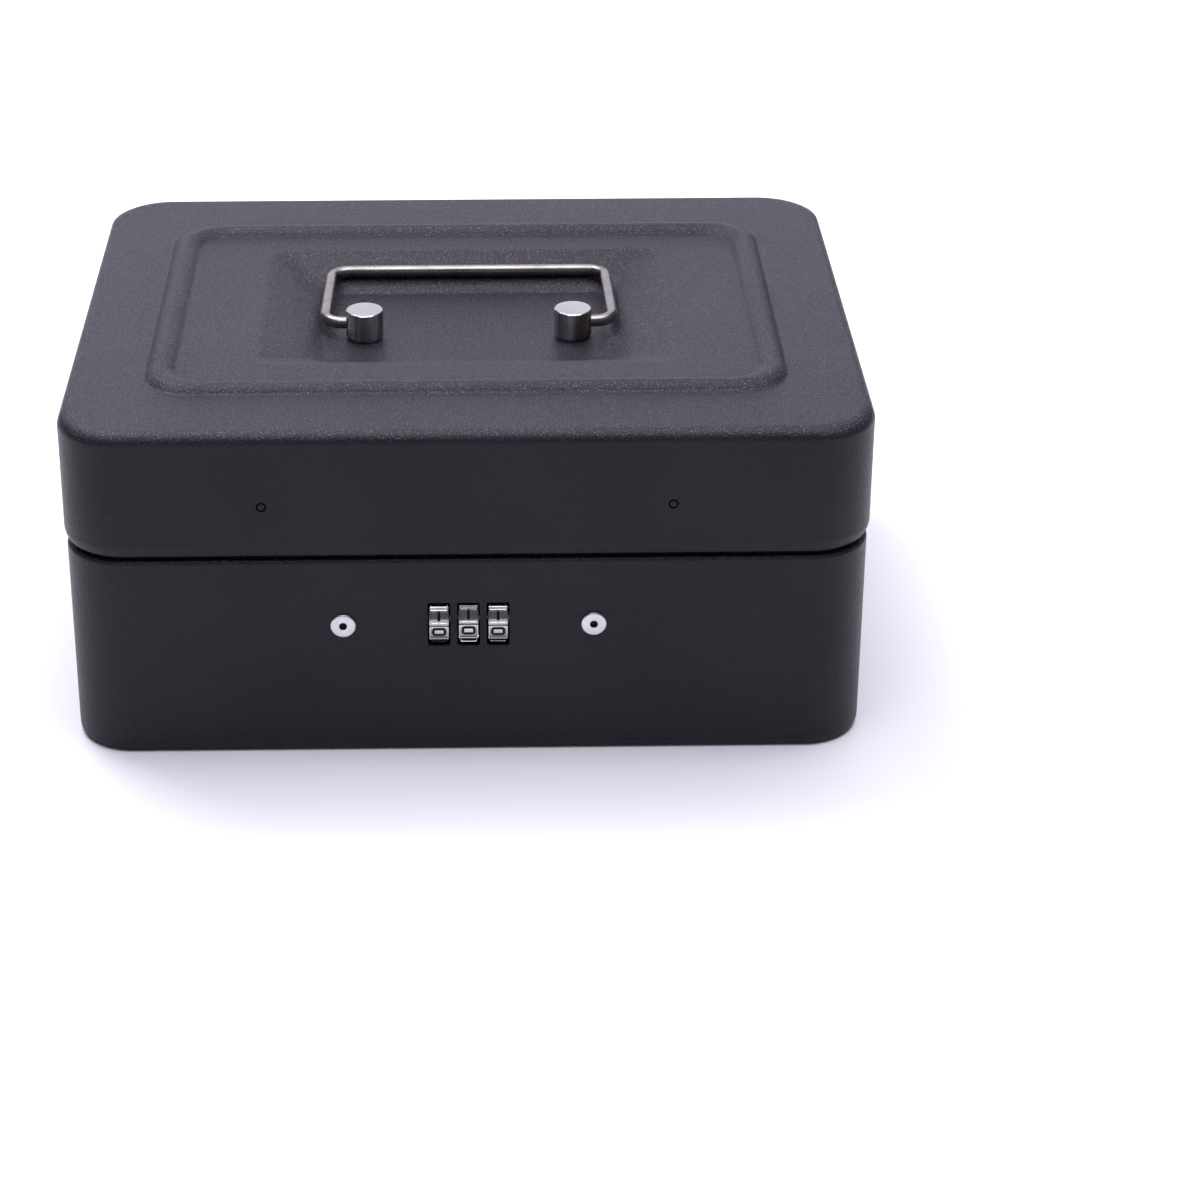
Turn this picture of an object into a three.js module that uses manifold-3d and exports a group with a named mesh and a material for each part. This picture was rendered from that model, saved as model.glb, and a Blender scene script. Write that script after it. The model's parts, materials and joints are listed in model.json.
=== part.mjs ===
// Steel cash box with a three-dial combination lock, a folding bail handle and a coin tray.
// Millimetres, +X right, +Y to the rear, +Z up; the origin is the centre of the base's underside.

import * as THREE from 'three';
import { mergeVertices } from 'three/addons/utils/BufferGeometryUtils.js';
import Module from 'manifold-3d';

const wasm = await Module();
wasm.setup();

// ---------------------------------------------------------------- driving dimensions

const WIDTH = 200;
const DEPTH = 160;
const SHEET = 1;                       // steel sheet of both shells
const CORNER_RADIUS = 15.5;            // plan corners of the lid
const CORNER_STEPS = 5;

const BASE_INSET = 0.5;                // the base stands this much inside the lid
const BASE_BOTTOM_RADIUS = 2.5;
const SHOULDER_RADIUS = 2;
const SHOULDER_TOP = 54.8;
const NECK_TOP = 63;                   // rim of the base, up inside the lid
const NECK_INSET = 2.8;                // neck's outer face, in from the lid's outer face

const LID_EDGE = 56;                   // lower edge of the lid
const LID_PLANE = 88.3;                // flat top of the lid
const LID_TOP_RADIUS = 3;
const LID_LIP = { height: 2.6, inset: 1 };
const BEAD = { halfX: 80.5, halfY: 56.5, radius: 12, width: 7.4, height: 1.8 };
const DISH = { topX: 53.5, topY: 39, floorX: 37, floorY: 22, depth: 6.2, radius: 3 };

const HANDLE = {
  centreX: 0.7,
  spacing: 27.2,                       // post axis from the handle's centre
  pivotY: -7.1,
  pivotZ: 86.3,
  postRadius: 5,
  postTop: 90,
  wireRadius: 1.65,
  halfWidth: 37,                       // of the grip, to the middle of the wire
  splay: 0.8,                          // how much further apart each leg is at the posts
  reach: 35.2,
  bend: 5,
  stubDepth: 2.2,                      // how far the wire's ends go into the posts
  screwHole: 1.7,
  screwBore: 1.5,
  boreDepth: 4.6,                      // of the screw's bore, up into a post
  hubRadius: 4.7,                      // of a post's narrower foot
  wireBore: 1.9,                       // of the bores that the wire turns in
};
const POST_SCREW = { head: 2.9, height: 1.9, shank: 1.3, length: 5.9 };
const POST_WASHER = { inner: 1.7, outer: 3.5, thickness: 0.7 };

const DIAL = { pitch: 7.3, y: -74.9, z: 36, radius: 6.6, width: 5, bore: 2.5, facets: 10 };
const DIAL_PHASES = [-12, -8, -11];   // tilt of each wheel's zero facet, in degrees
const DIAL_SLOT = { width: 5.6, height: 12 };
const SLEEVE = { tube: 2.2, hub: 3.2, flat: 1.9, hubStart: 2.65, hubEnd: 4.55, bore: 1.35 };
const SPINDLE = { radius: 1.2, left: -16.4, right: 23.4, collarX: 12.3, collarWidth: 0.8, collar: 2.3 };
const SPINDLE_SPRING = { start: 13.7, length: 5.2, turns: 4, radius: 1.95, wire: 0.32 };

const CASE = { halfX: 38, front: -78.4, rear: -63, bottom: 26, top: 47, wall: 1 };
const CASE_WINDOW = { left: -10.6, right: 12.8, bottom: 28.8, top: 43.2 };   // behind the slots
const TONGUE_SLOT = { left: -7.2, right: 14.2, front: -74.8, rear: -65 };    // in the case's top
const SPINDLE_RIBS = { lefts: [-11.9, 22], width: 1, rear: -68.8, bottom: 31, top: 41 };
const SCREW_BOSS = { halfWidth: 2.2, below: 3.6, above: 2.2, bore: 1.1, depth: 9 };
const LEVER_SLOT = { left: -18.2, right: -11.4, bottom: 33.2, top: 38.8 };   // in the cover
const LOCK_RIVET = { x: 31, z: 36, bore: 2.1, head: 3.3, height: 0.9, shank: 1.9, tail: 2.7, hole: 0.85 };
const COVER_SCREW = { x: 34, z: 30, bore: 1.3, head: 2.4, height: 1.4, shank: 0.9, length: 7 };
const CATCH_RIVET = { x: 50, z: 69, bore: 1.5, shank: 1.3, tail: 1.9, tailHeight: 0.8 };
const CATCH = { halfX: 56, bottom: 64.4, top: 76, sheet: 1, shelf: 1.2 };
const TONGUE = { left: -6.5, right: 13.6, front: -66.8, rear: -65.8, bottom: 31.4 };
const TOOTH = { halfWidth: 0.8, front: -71.9, height: 2 };
const LEVER = {
  left: -16.6,
  thickness: 1.2,
  yokeReach: 2.4,                      // of the yoke, in front of the spindle's axis
  yokeRear: -66,
  armZ: [34, 38],
  yokeZ: [33.4, 38.6],
  pad: [-59.5, -57.5],
};
const DETENT = { left: -10, right: 10.5, front: -69, rear: -65.5, strip: 0.5, fingerHalfWidth: 2 };
const DETENT_FINGER = [                // (y, height over the case's floor) of one sprung finger
  [-67, 0],
  [-67, 0.5],
  [-73, 1.6],
  [-74.9, 2],
  [-76.6, 1.3],
  [-76.6, 0.9],
  [-74.9, 1.5],
];

const HINGE = {
  y: 82.6,
  z: 55.8,
  length: 120,
  knuckles: 5,
  gap: 0.3,                            // between neighbouring knuckles
  radius: 2.3,
  bore: 1.35,
  pin: 1.2,
  leaf: 1,
  baseLeaf: [40, 53.1],                // far and near edge of each leaf
  lidLeaf: [71.5, 58.5],
};
const HINGE_RIVET = {
  xs: [-45, 0, 45],
  baseZ: 46,
  lidZ: 66,
  bore: 1.4,
  head: 2.3,
  height: 1.1,
  shank: 1.2,
  tail: 1.9,
};

const TRAY = {
  halfX: 90,
  front: -55,
  rear: 71,
  bottom: 22,
  top: 50,
  radius: 14,
  wall: 1.6,
  floor: 1.5,
  rim: 1.6,                            // overhang of the rim, all round
  rimHeight: 2,
  cupDepth: 78,                        // the front cups' reach to the rear
  foot: 11,
  footInset: 4,
};

const GAP = 0.1;                       // between flat faces that bear on each other

// ---------------------------------------------------------------- colours

function material(color, roughness, metalness) {
  return new THREE.MeshStandardMaterial({ color, roughness, metalness });
}

const BLACK_PAINT = material(0x2c2c33, 0.55, 0.2);
const ZINC_STEEL = material(0xb4b6b8, 0.4, 0.9);
const BRIGHT_STEEL = material(0xc9c8c6, 0.25, 1);
const CHROME = material(0xd8d8da, 0.12, 1);
const DARK_CHROME = material(0x77706c, 0.2, 1);
const BRASS = material(0xb9975a, 0.35, 0.9);
const TRAY_PLASTIC = material(0x17181a, 0.5, 0);

// ---------------------------------------------------------------- shape helpers

// A rounded rectangle at height z, counter-clockwise seen from above.
function ring(halfX, halfY, radius, z) {
  const points = [];
  for (let corner = 0; corner < 4; corner += 1) {
    const signX = corner === 0 || corner === 3 ? 1 : -1;
    const signY = corner < 2 ? 1 : -1;
    for (let step = 0; step <= CORNER_STEPS; step += 1) {
      const angle = (corner + step / CORNER_STEPS) * Math.PI / 2;
      points.push([
        signX * (halfX - radius) + radius * Math.cos(angle),
        signY * (halfY - radius) + radius * Math.sin(angle),
        z,
      ]);
    }
  }
  return points;
}

// A closed skin through a list of rings, capped flat at both ends. Its outside is on the right of
// the way from the first ring to the last.
function loft(rings) {
  const count = rings[0].length;
  const vertices = rings.flat();
  const triangles = [];
  for (let level = 0; level + 1 < rings.length; level += 1) {
    for (let i = 0; i < count; i += 1) {
      const a = level * count + i;
      const b = level * count + (i + 1) % count;
      triangles.push([a, b, b + count], [a, b + count, a + count]);
    }
  }
  const last = (rings.length - 1) * count;
  const lowCentre = vertices.push([0, 0, rings[0][0][2]]) - 1;
  const highCentre = vertices.push([0, 0, rings.at(-1)[0][2]]) - 1;
  for (let i = 0; i < count; i += 1) {
    const next = (i + 1) % count;
    triangles.push([lowCentre, next, i], [highCentre, last + i, last + next]);
  }
  const geometry = new THREE.BufferGeometry();
  geometry.setAttribute('position', new THREE.Float32BufferAttribute(vertices.flat(), 3));
  geometry.setIndex(triangles.flat());
  return geometry;
}

function block(x0, x1, y0, y1, z0, z1) {
  const geometry = new THREE.BoxGeometry(x1 - x0, y1 - y0, z1 - z0);
  return geometry.translate((x0 + x1) / 2, (y0 + y1) / 2, (z0 + z1) / 2);
}

// A round bar from start to end, which differ along one axis.
function bar(radius, start, end, sides = 12) {
  const from = new THREE.Vector3(...start);
  const along = new THREE.Vector3(...end).sub(from);
  const geometry = new THREE.CylinderGeometry(radius, radius, along.length(), sides);
  geometry.translate(0, along.length() / 2, 0);
  const turn = new THREE.Quaternion().setFromUnitVectors(
    new THREE.Vector3(0, 1, 0),
    along.clone().normalize(),
  );
  return geometry.applyQuaternion(turn).translate(from.x, from.y, from.z);
}

// An outline of (y, z) points pushed out along X.
function plateAlongX(outline, x0, x1) {
  const shape = new THREE.Shape(outline.map(([y, z]) => new THREE.Vector2(y, z)));
  const geometry = new THREE.ExtrudeGeometry(shape, { depth: x1 - x0, bevelEnabled: false });
  const axes = new THREE.Matrix4().makeBasis(
    new THREE.Vector3(0, 1, 0),
    new THREE.Vector3(0, 0, 1),
    new THREE.Vector3(1, 0, 0),
  );
  return geometry.applyMatrix4(axes).translate(x0, 0, 0);
}

// A rounded box with upright sides.
function roundedBlock(halfX, y0, y1, radius, z0, z1) {
  const halfY = (y1 - y0) / 2;
  const geometry = loft([ring(halfX, halfY, radius, z0), ring(halfX, halfY, radius, z1)]);
  return geometry.translate(0, (y0 + y1) / 2, 0);
}

// A turned piece about Z, from a profile of (radius, height) points.
function turned(profile, segments = 12) {
  const points = profile.map(([radius, height]) => new THREE.Vector2(radius, height));
  return new THREE.LatheGeometry(points, segments).rotateX(Math.PI / 2);
}

function toSolid(geometry) {
  const bare = new THREE.BufferGeometry();
  bare.setAttribute('position', geometry.getAttribute('position'));
  bare.setIndex(geometry.getIndex());
  const merged = mergeVertices(bare, 1e-4);
  return new wasm.Manifold(new wasm.Mesh({
    numProp: 3,
    vertProperties: new Float32Array(merged.getAttribute('position').array),
    triVerts: new Uint32Array(merged.getIndex().array),
  }));
}

function toGeometry(solid) {
  const mesh = solid.getMesh();
  const geometry = new THREE.BufferGeometry();
  geometry.setAttribute('position', new THREE.BufferAttribute(mesh.vertProperties, 3));
  geometry.setIndex(new THREE.BufferAttribute(mesh.triVerts, 1));
  return geometry;
}

// Joins the geometries in add and cuts those in cut out of them.
function combine(add, cut = []) {
  let solid = toSolid(add[0]);
  for (const geometry of add.slice(1)) solid = solid.add(toSolid(geometry));
  for (const geometry of cut) solid = solid.subtract(toSolid(geometry));
  return toGeometry(solid);
}

function named(name, geometry, look) {
  const mesh = new THREE.Mesh(geometry, look);
  mesh.name = name;
  return mesh;
}

const both = [['left', -1], ['right', 1]];

// ---------------------------------------------------------------- shells

function hingeRivetBores(face, z) {
  return HINGE_RIVET.xs.map((x) => bar(HINGE_RIVET.bore, [x, face - 2, z], [x, face + 2, z]));
}

// One face of the base's sheet, from the floor to the rim; depth is 0 outside and SHEET inside.
function baseFace(depth) {
  const wallX = WIDTH / 2 - BASE_INSET;
  const wallY = DEPTH / 2 - BASE_INSET;
  const corner = CORNER_RADIUS - BASE_INSET;
  const at = (inset, z) => ring(wallX - inset, wallY - inset, Math.max(corner - inset, 1), z);
  const rings = [];
  const bottom = BASE_BOTTOM_RADIUS;
  for (let step = 0; step <= 3; step += 1) {
    const angle = step / 3 * Math.PI / 2;
    const reach = bottom - depth;
    rings.push(at(bottom - reach * Math.sin(angle), bottom - reach * Math.cos(angle)));
  }
  const shoulder = SHOULDER_RADIUS;
  for (let step = 0; step <= 3; step += 1) {
    const angle = step / 3 * Math.PI / 2;
    const reach = shoulder - depth;
    const z = SHOULDER_TOP - shoulder + reach * Math.sin(angle);
    rings.push(at(shoulder - reach * Math.cos(angle), z));
  }
  const neck = NECK_INSET - BASE_INSET + depth;
  rings.push(at(neck, SHOULDER_TOP + 0.2 - depth), at(neck, NECK_TOP));
  return rings;
}

function baseShell() {
  const front = -DEPTH / 2 + BASE_INSET;
  const cuts = [];
  for (const x of [-DIAL.pitch, 0, DIAL.pitch]) {
    const half = DIAL_SLOT.width / 2;
    const rise = DIAL_SLOT.height / 2;
    cuts.push(block(x - half, x + half, front - 1, front + 2, DIAL.z - rise, DIAL.z + rise));
  }
  for (const [, side] of both) {
    const x = side * LOCK_RIVET.x;
    cuts.push(bar(LOCK_RIVET.bore, [x, front - 1, LOCK_RIVET.z], [x, front + 2, LOCK_RIVET.z]));
  }
  cuts.push(...hingeRivetBores(-front, HINGE_RIVET.baseZ));
  return combine([loft([...baseFace(0), ...baseFace(SHEET).reverse()])], cuts);
}

// One face of the lid's sheet, from its lower edge to the floor of the dish.
function lidFace(depth) {
  const rings = [];
  const wall = (inset, z) => {
    const reach = inset + depth;
    rings.push(ring(WIDTH / 2 - reach, DEPTH / 2 - reach, CORNER_RADIUS - reach, z));
  };
  wall(LID_LIP.inset, LID_EDGE);
  wall(LID_LIP.inset / 3, LID_EDGE + LID_LIP.height / 2);
  wall(0, LID_EDGE + LID_LIP.height);
  for (let step = 0; step <= 4; step += 1) {
    const angle = step / 4 * Math.PI / 2;
    const reach = LID_TOP_RADIUS - depth;
    const inset = LID_TOP_RADIUS - depth - reach * Math.cos(angle);
    wall(inset, LID_PLANE - LID_TOP_RADIUS + reach * Math.sin(angle));
  }
  for (let step = 0; step <= 4; step += 1) {
    const share = step / 4;
    const inset = BEAD.width * share;
    const z = LID_PLANE - depth + BEAD.height * Math.sin(Math.PI * share) ** 0.8;
    rings.push(ring(BEAD.halfX - inset, BEAD.halfY - inset, BEAD.radius - inset / 2, z));
  }
  const spread = 0.2 * depth;
  const top = LID_PLANE - depth;
  rings.push(ring(DISH.topX + spread, DISH.topY + spread, DISH.radius, top));
  rings.push(ring(DISH.floorX + spread, DISH.floorY + spread, DISH.radius, top - DISH.depth));
  return rings;
}

function lidShell() {
  const cuts = [];
  for (const [, side] of both) {
    const { z, bore } = CATCH_RIVET;
    const rivetX = side * CATCH_RIVET.x;
    const postX = HANDLE.centreX + side * HANDLE.spacing;
    const dish = LID_PLANE - DISH.depth;
    cuts.push(bar(bore, [rivetX, -DEPTH / 2 - 1, z], [rivetX, -DEPTH / 2 + 2, z]));
    cuts.push(bar(HANDLE.screwHole, [postX, HANDLE.pivotY, dish - 2], [postX, HANDLE.pivotY, dish + 1]));
  }
  cuts.push(...hingeRivetBores(DEPTH / 2, HINGE_RIVET.lidZ));
  return combine([loft([...lidFace(SHEET).reverse(), ...lidFace(0)])], cuts);
}

// ---------------------------------------------------------------- hinge

// A leaf with the knuckles of one side; first is the number of its first knuckle, from the left.
function hingeLeaf(face, [farEdge, nearEdge], first, rivetZ) {
  const step = HINGE.length / HINGE.knuckles;
  const half = HINGE.length / 2;
  const leafEnd = half - 2;
  const low = Math.min(farEdge, nearEdge);
  const high = Math.max(farEdge, nearEdge);
  const add = [block(-leafEnd, leafEnd, face, face + HINGE.leaf, low, high)];
  const cut = [];
  for (let knuckle = first; knuckle < HINGE.knuckles; knuckle += 2) {
    const x0 = -half + knuckle * step + HINGE.gap / 2;
    const x1 = x0 + step - HINGE.gap;
    const inner = Math.min(low, HINGE.z);
    const outer = Math.max(high, HINGE.z);
    const tab = [Math.max(x0, -leafEnd), Math.min(x1, leafEnd)];
    add.push(block(tab[0], tab[1], face, face + HINGE.leaf, inner, outer));
    add.push(bar(HINGE.radius, [x0, HINGE.y, HINGE.z], [x1, HINGE.y, HINGE.z], 16));
    cut.push(bar(HINGE.bore, [x0 - 1, HINGE.y, HINGE.z], [x1 + 1, HINGE.y, HINGE.z]));
  }
  cut.push(...hingeRivetBores(face, rivetZ));
  return combine(add, cut);
}

function hingePin() {
  const half = HINGE.length / 2 + 0.5;
  return bar(HINGE.pin, [-half, HINGE.y, HINGE.z], [half, HINGE.y, HINGE.z], 14);
}

// A domed rivet through two sheets, about Z: its head above 0, its shank below and its upset tail.
function rivet({ head, height, shank, tail, hole = 0 }) {
  const tailTop = -2 * SHEET - 3 * GAP;
  const profile = [
    [hole, tailTop - 1],
    [tail, tailTop - 1],
    [tail, tailTop],
    [shank, tailTop],
    [shank, GAP],
    [head, GAP],
    [head, GAP + height * 0.35],
    [head * 0.78, GAP + height * 0.8],
    [head * 0.45, GAP + height],
    [hole, GAP + height],
  ];
  if (hole > 0) profile.push(profile[0]);
  return turned(profile);
}

// Rivets with their heads facing the rear (side 1) or the front (side -1).
function placeRivet(name, geometry, look, x, y, z, side) {
  const mesh = named(name, geometry, look);
  mesh.position.set(x, y, z);
  mesh.rotation.x = side > 0 ? -Math.PI / 2 : Math.PI / 2;
  return mesh;
}

// ---------------------------------------------------------------- lock

function lockCase() {
  const { halfX, front, rear, bottom, top, wall } = CASE;
  const inner = halfX - wall;
  const cut = [block(-inner, inner, front + wall, rear + 1, bottom + wall, top - wall)];
  const view = CASE_WINDOW;
  cut.push(block(view.left, view.right, front - 1, front + wall + 0.5, view.bottom, view.top));
  const slot = TONGUE_SLOT;
  cut.push(block(slot.left, slot.right, slot.front, slot.rear, top - 2, top + 1));
  const shell = combine([block(-halfX, halfX, front, rear, bottom, top)], cut);

  const join = front + wall / 2;                 // half-way into the front's sheet
  const { lefts, width, ...rib } = SPINDLE_RIBS;
  const add = lefts.map((x) => block(x, x + width, join, rib.rear, rib.bottom, rib.top));
  const bores = [bar(SLEEVE.bore, [lefts[0] - 1, DIAL.y, DIAL.z], [lefts[1] + 2, DIAL.y, DIAL.z])];
  const { halfWidth, below, above, bore, depth } = SCREW_BOSS;
  for (const [, side] of both) {
    const rivetX = side * LOCK_RIVET.x;
    const x = side * COVER_SCREW.x;
    const z = COVER_SCREW.z;
    add.push(block(x - halfWidth, x + halfWidth, join, rear - GAP, z - below, z + above));
    bores.push(bar(bore, [x, rear - depth, z], [x, rear + 1, z]));
    bores.push(bar(LOCK_RIVET.bore, [rivetX, front - 1, LOCK_RIVET.z], [rivetX, front + 2, LOCK_RIVET.z]));
  }
  return combine([shell, ...add], bores);
}

function lockCover() {
  const { halfX, rear, bottom, top } = CASE;
  const face = rear + GAP;
  const slot = LEVER_SLOT;
  const cut = [block(slot.left, slot.right, face - 1, face + 2, slot.bottom, slot.top)];
  for (const [, side] of both) {
    const x = side * COVER_SCREW.x;
    cut.push(bar(COVER_SCREW.bore, [x, face - 1, COVER_SCREW.z], [x, face + 2, COVER_SCREW.z]));
  }
  return combine([block(-halfX, halfX, face, face + SHEET, bottom, top)], cut);
}

// A round-headed screw about Z: its head above 0 and its shank of the given length below.
function screw({ head, height, shank, length }) {
  const slot = block(-head - 1, head + 1, -0.35, 0.35, height - 0.7, height + 1);
  const body = turned([
    [0, -length],
    [shank * 0.6, -length],
    [shank, -length + 0.6],
    [shank, 0],
    [head, 0],
    [head, height * 0.45],
    [head * 0.8, height * 0.85],
    [head * 0.5, height],
    [0, height],
  ]);
  return combine([body], [slot]);
}

// A ten-sided wheel about X, centred on the origin, with one facet facing the front.
function dialWheel() {
  const shape = new THREE.Shape();
  for (let corner = 0; corner < DIAL.facets; corner += 1) {
    const angle = corner * 2 * Math.PI / DIAL.facets;
    const point = [DIAL.radius * Math.cos(angle), DIAL.radius * Math.sin(angle)];
    if (corner === 0) shape.moveTo(...point);
    else shape.lineTo(...point);
  }
  shape.closePath();
  shape.holes.push(new THREE.Path().absarc(0, 0, DIAL.bore, 0, 2 * Math.PI, true));
  const options = { depth: DIAL.width, bevelEnabled: false, curveSegments: 16 };
  const geometry = new THREE.ExtrudeGeometry(shape, options);
  return geometry.translate(0, 0, -DIAL.width / 2).rotateY(Math.PI / 2);
}

// The coded sleeve about X: a tube inside the wheel and a hub beside it, with a flat to the rear.
function dialSleeve() {
  const half = DIAL.width / 2;
  const hub = [SLEEVE.hubStart, SLEEVE.hubEnd];
  const flat = block(hub[0] - 0.05, hub[1] + 1, SLEEVE.flat, SLEEVE.hub + 1, -4, 4);
  const body = combine([
    bar(SLEEVE.tube, [-half, 0, 0], [hub[0] + 0.2, 0, 0]),
    bar(SLEEVE.hub, [hub[0], 0, 0], [hub[1], 0, 0], 20),
  ]);
  return combine([body], [flat, bar(SLEEVE.bore, [-half - 1, 0, 0], [hub[1] + 1, 0, 0])]);
}

function dialSpindle() {
  const { radius, left, right, collarX, collarWidth, collar } = SPINDLE;
  return combine([
    bar(radius, [left, DIAL.y, DIAL.z], [right, DIAL.y, DIAL.z], 14),
    bar(collar, [collarX, DIAL.y, DIAL.z], [collarX + collarWidth, DIAL.y, DIAL.z]),
  ]);
}

// The return spring, at the length it has when the lever is pushed home.
function spindleSpring() {
  const { start, length, turns, radius, wire } = SPINDLE_SPRING;
  const steps = 8 * turns;
  const points = [];
  for (let step = 0; step <= steps; step += 1) {
    const angle = step / steps * turns * 2 * Math.PI;
    points.push(new THREE.Vector3(
      start + step / steps * length,
      DIAL.y + radius * Math.cos(angle),
      DIAL.z + radius * Math.sin(angle),
    ));
  }
  const section = new THREE.Shape().absarc(0, 0, wire, 0, 2 * Math.PI);
  const route = new THREE.CatmullRomCurve3(points);
  const options = { steps, extrudePath: route, bevelEnabled: false, curveSegments: 5 };
  return new THREE.ExtrudeGeometry(section, options);
}

// The code-change lever: a yoke on the spindle's end, an arm through the cover and a thumb pad.
function codeLever() {
  const { left, thickness, yokeReach, yokeRear, armZ, yokeZ, pad } = LEVER;
  const right = left + thickness;
  return combine([
    block(left, right, DIAL.y - yokeReach, yokeRear, ...yokeZ),
    block(left, right, yokeRear - 0.5, pad[0] + 0.5, ...armZ),
    block(left - 1, right + 1.2, ...pad, armZ[0] - 1, armZ[1] + 1),
  ], [bar(SPINDLE.radius + GAP, [left - 1, DIAL.y, DIAL.z], [right + 1, DIAL.y, DIAL.z])]);
}

// The detent: a strip on the case's floor with one sprung finger up to each dial.
function detentSpring() {
  const floor = CASE.bottom + CASE.wall + GAP;
  const { left, right, front, rear, strip, fingerHalfWidth } = DETENT;
  const add = [block(left, right, front, rear, floor, floor + strip)];
  const finger = DETENT_FINGER.map(([y, height]) => [y, floor + height]).reverse();
  for (const x of [-DIAL.pitch, 0, DIAL.pitch]) {
    add.push(plateAlongX(finger, x - fingerHalfWidth, x + fingerHalfWidth));
  }
  return combine(add);
}

// The lid's catch: a plate behind the front skirt, a shelf over the base's rim, and a toothed
// tongue that hangs down behind the dials. Each tooth sits under one sleeve's hub.
function catchPlate() {
  const face = -DEPTH / 2 + SHEET + GAP;
  const { left, right, front, rear, bottom } = TONGUE;
  const shelfTop = CATCH.bottom + CATCH.shelf;
  const add = [
    block(-CATCH.halfX, CATCH.halfX, face, face + CATCH.sheet, CATCH.bottom, CATCH.top),
    block(left, right, face, rear, CATCH.bottom, shelfTop),
    block(left, right, front, rear, bottom, shelfTop),
  ];
  const { halfWidth, height } = TOOTH;
  for (const x of [-DIAL.pitch, 0, DIAL.pitch]) {
    const centre = x + (SLEEVE.hubStart + SLEEVE.hubEnd) / 2;
    const [x0, x1] = [centre - halfWidth, centre + halfWidth];
    add.push(block(x0, x1, TOOTH.front, front + 0.8, bottom, bottom + height));
  }
  const { x: rivetX, z, bore } = CATCH_RIVET;
  const cut = [-rivetX, rivetX].map((x) => bar(bore, [x, face - 1, z], [x, face + 2, z]));
  return combine(add, cut);
}

// A rivet ground flush with the painted skin, about Z: its flush end at 0.
function flushRivet() {
  const grip = 2 * SHEET + 2 * GAP;
  const { shank, tail, tailHeight } = CATCH_RIVET;
  return turned([
    [0, -grip - tailHeight],
    [tail, -grip - tailHeight],
    [tail, -grip],
    [shank, -grip],
    [shank, 0],
    [0, 0],
  ]);
}

// ---------------------------------------------------------------- handle

function handlePost(side) {
  const floor = LID_PLANE - DISH.depth + GAP;
  const { postRadius, postTop, pivotZ, hubRadius, wireBore, screwBore, boreDepth } = HANDLE;
  const body = turned([
    [0, floor],
    [hubRadius, floor],
    [hubRadius, floor + 0.6],
    [postRadius, floor + 0.9],
    [postRadius, postTop - 0.4],
    [postRadius - 0.4, postTop],
    [0, postTop],
  ], 18);
  const pivotEnd = side * (postRadius - HANDLE.stubDepth - 0.4);
  return combine([body], [
    bar(wireBore, [pivotEnd, 0, pivotZ], [side * (postRadius + 1), 0, pivotZ]),
    bar(screwBore, [0, 0, floor - 1], [0, 0, floor + boreDepth]),
  ]);
}

function postWasher() {
  const top = LID_PLANE - DISH.depth - SHEET - GAP;
  const { inner, outer, thickness } = POST_WASHER;
  const low = top - thickness;
  return turned([[inner, low], [outer, low], [outer, top], [inner, top], [inner, low]]);
}

function handleBail() {
  const { centreX, spacing, pivotY, pivotZ, postRadius, reach, bend, stubDepth } = HANDLE;
  const outline = new THREE.CurvePath();
  const stub = spacing + postRadius - stubDepth;
  const at = (x, y) => new THREE.Vector3(centreX + x, pivotY + y, pivotZ);
  const grip = HANDLE.halfWidth;
  const foot = grip + HANDLE.splay;
  const corners = [[foot, 0], [grip, reach], [-grip, reach], [-foot, 0]];
  const ends = [[stub, 0], [-stub, 0]];
  const stops = [ends[0], ...corners, ends[1]];
  let from = at(...stops[0]);
  for (let i = 1; i + 1 < stops.length; i += 1) {
    const corner = at(...stops[i]);
    const into = at(...stops[i - 1]).sub(corner).setLength(bend).add(corner);
    const outof = at(...stops[i + 1]).sub(corner).setLength(bend).add(corner);
    outline.add(new THREE.LineCurve3(from, into));
    const centre = into.clone().add(outof).sub(corner);
    const sweep = [];
    for (let step = 0; step <= 4; step += 1) {
      const angle = step / 4 * Math.PI / 2;
      const point = centre.clone();
      point.addScaledVector(into.clone().sub(centre), Math.cos(angle));
      point.addScaledVector(outof.clone().sub(centre), Math.sin(angle));
      sweep.push(point);
    }
    for (let step = 0; step < 4; step += 1) {
      outline.add(new THREE.LineCurve3(sweep[step], sweep[step + 1]));
    }
    from = outof;
  }
  outline.add(new THREE.LineCurve3(from, at(...ends[1])));
  return sweepRound(outline, HANDLE.wireRadius, 10);
}

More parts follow.
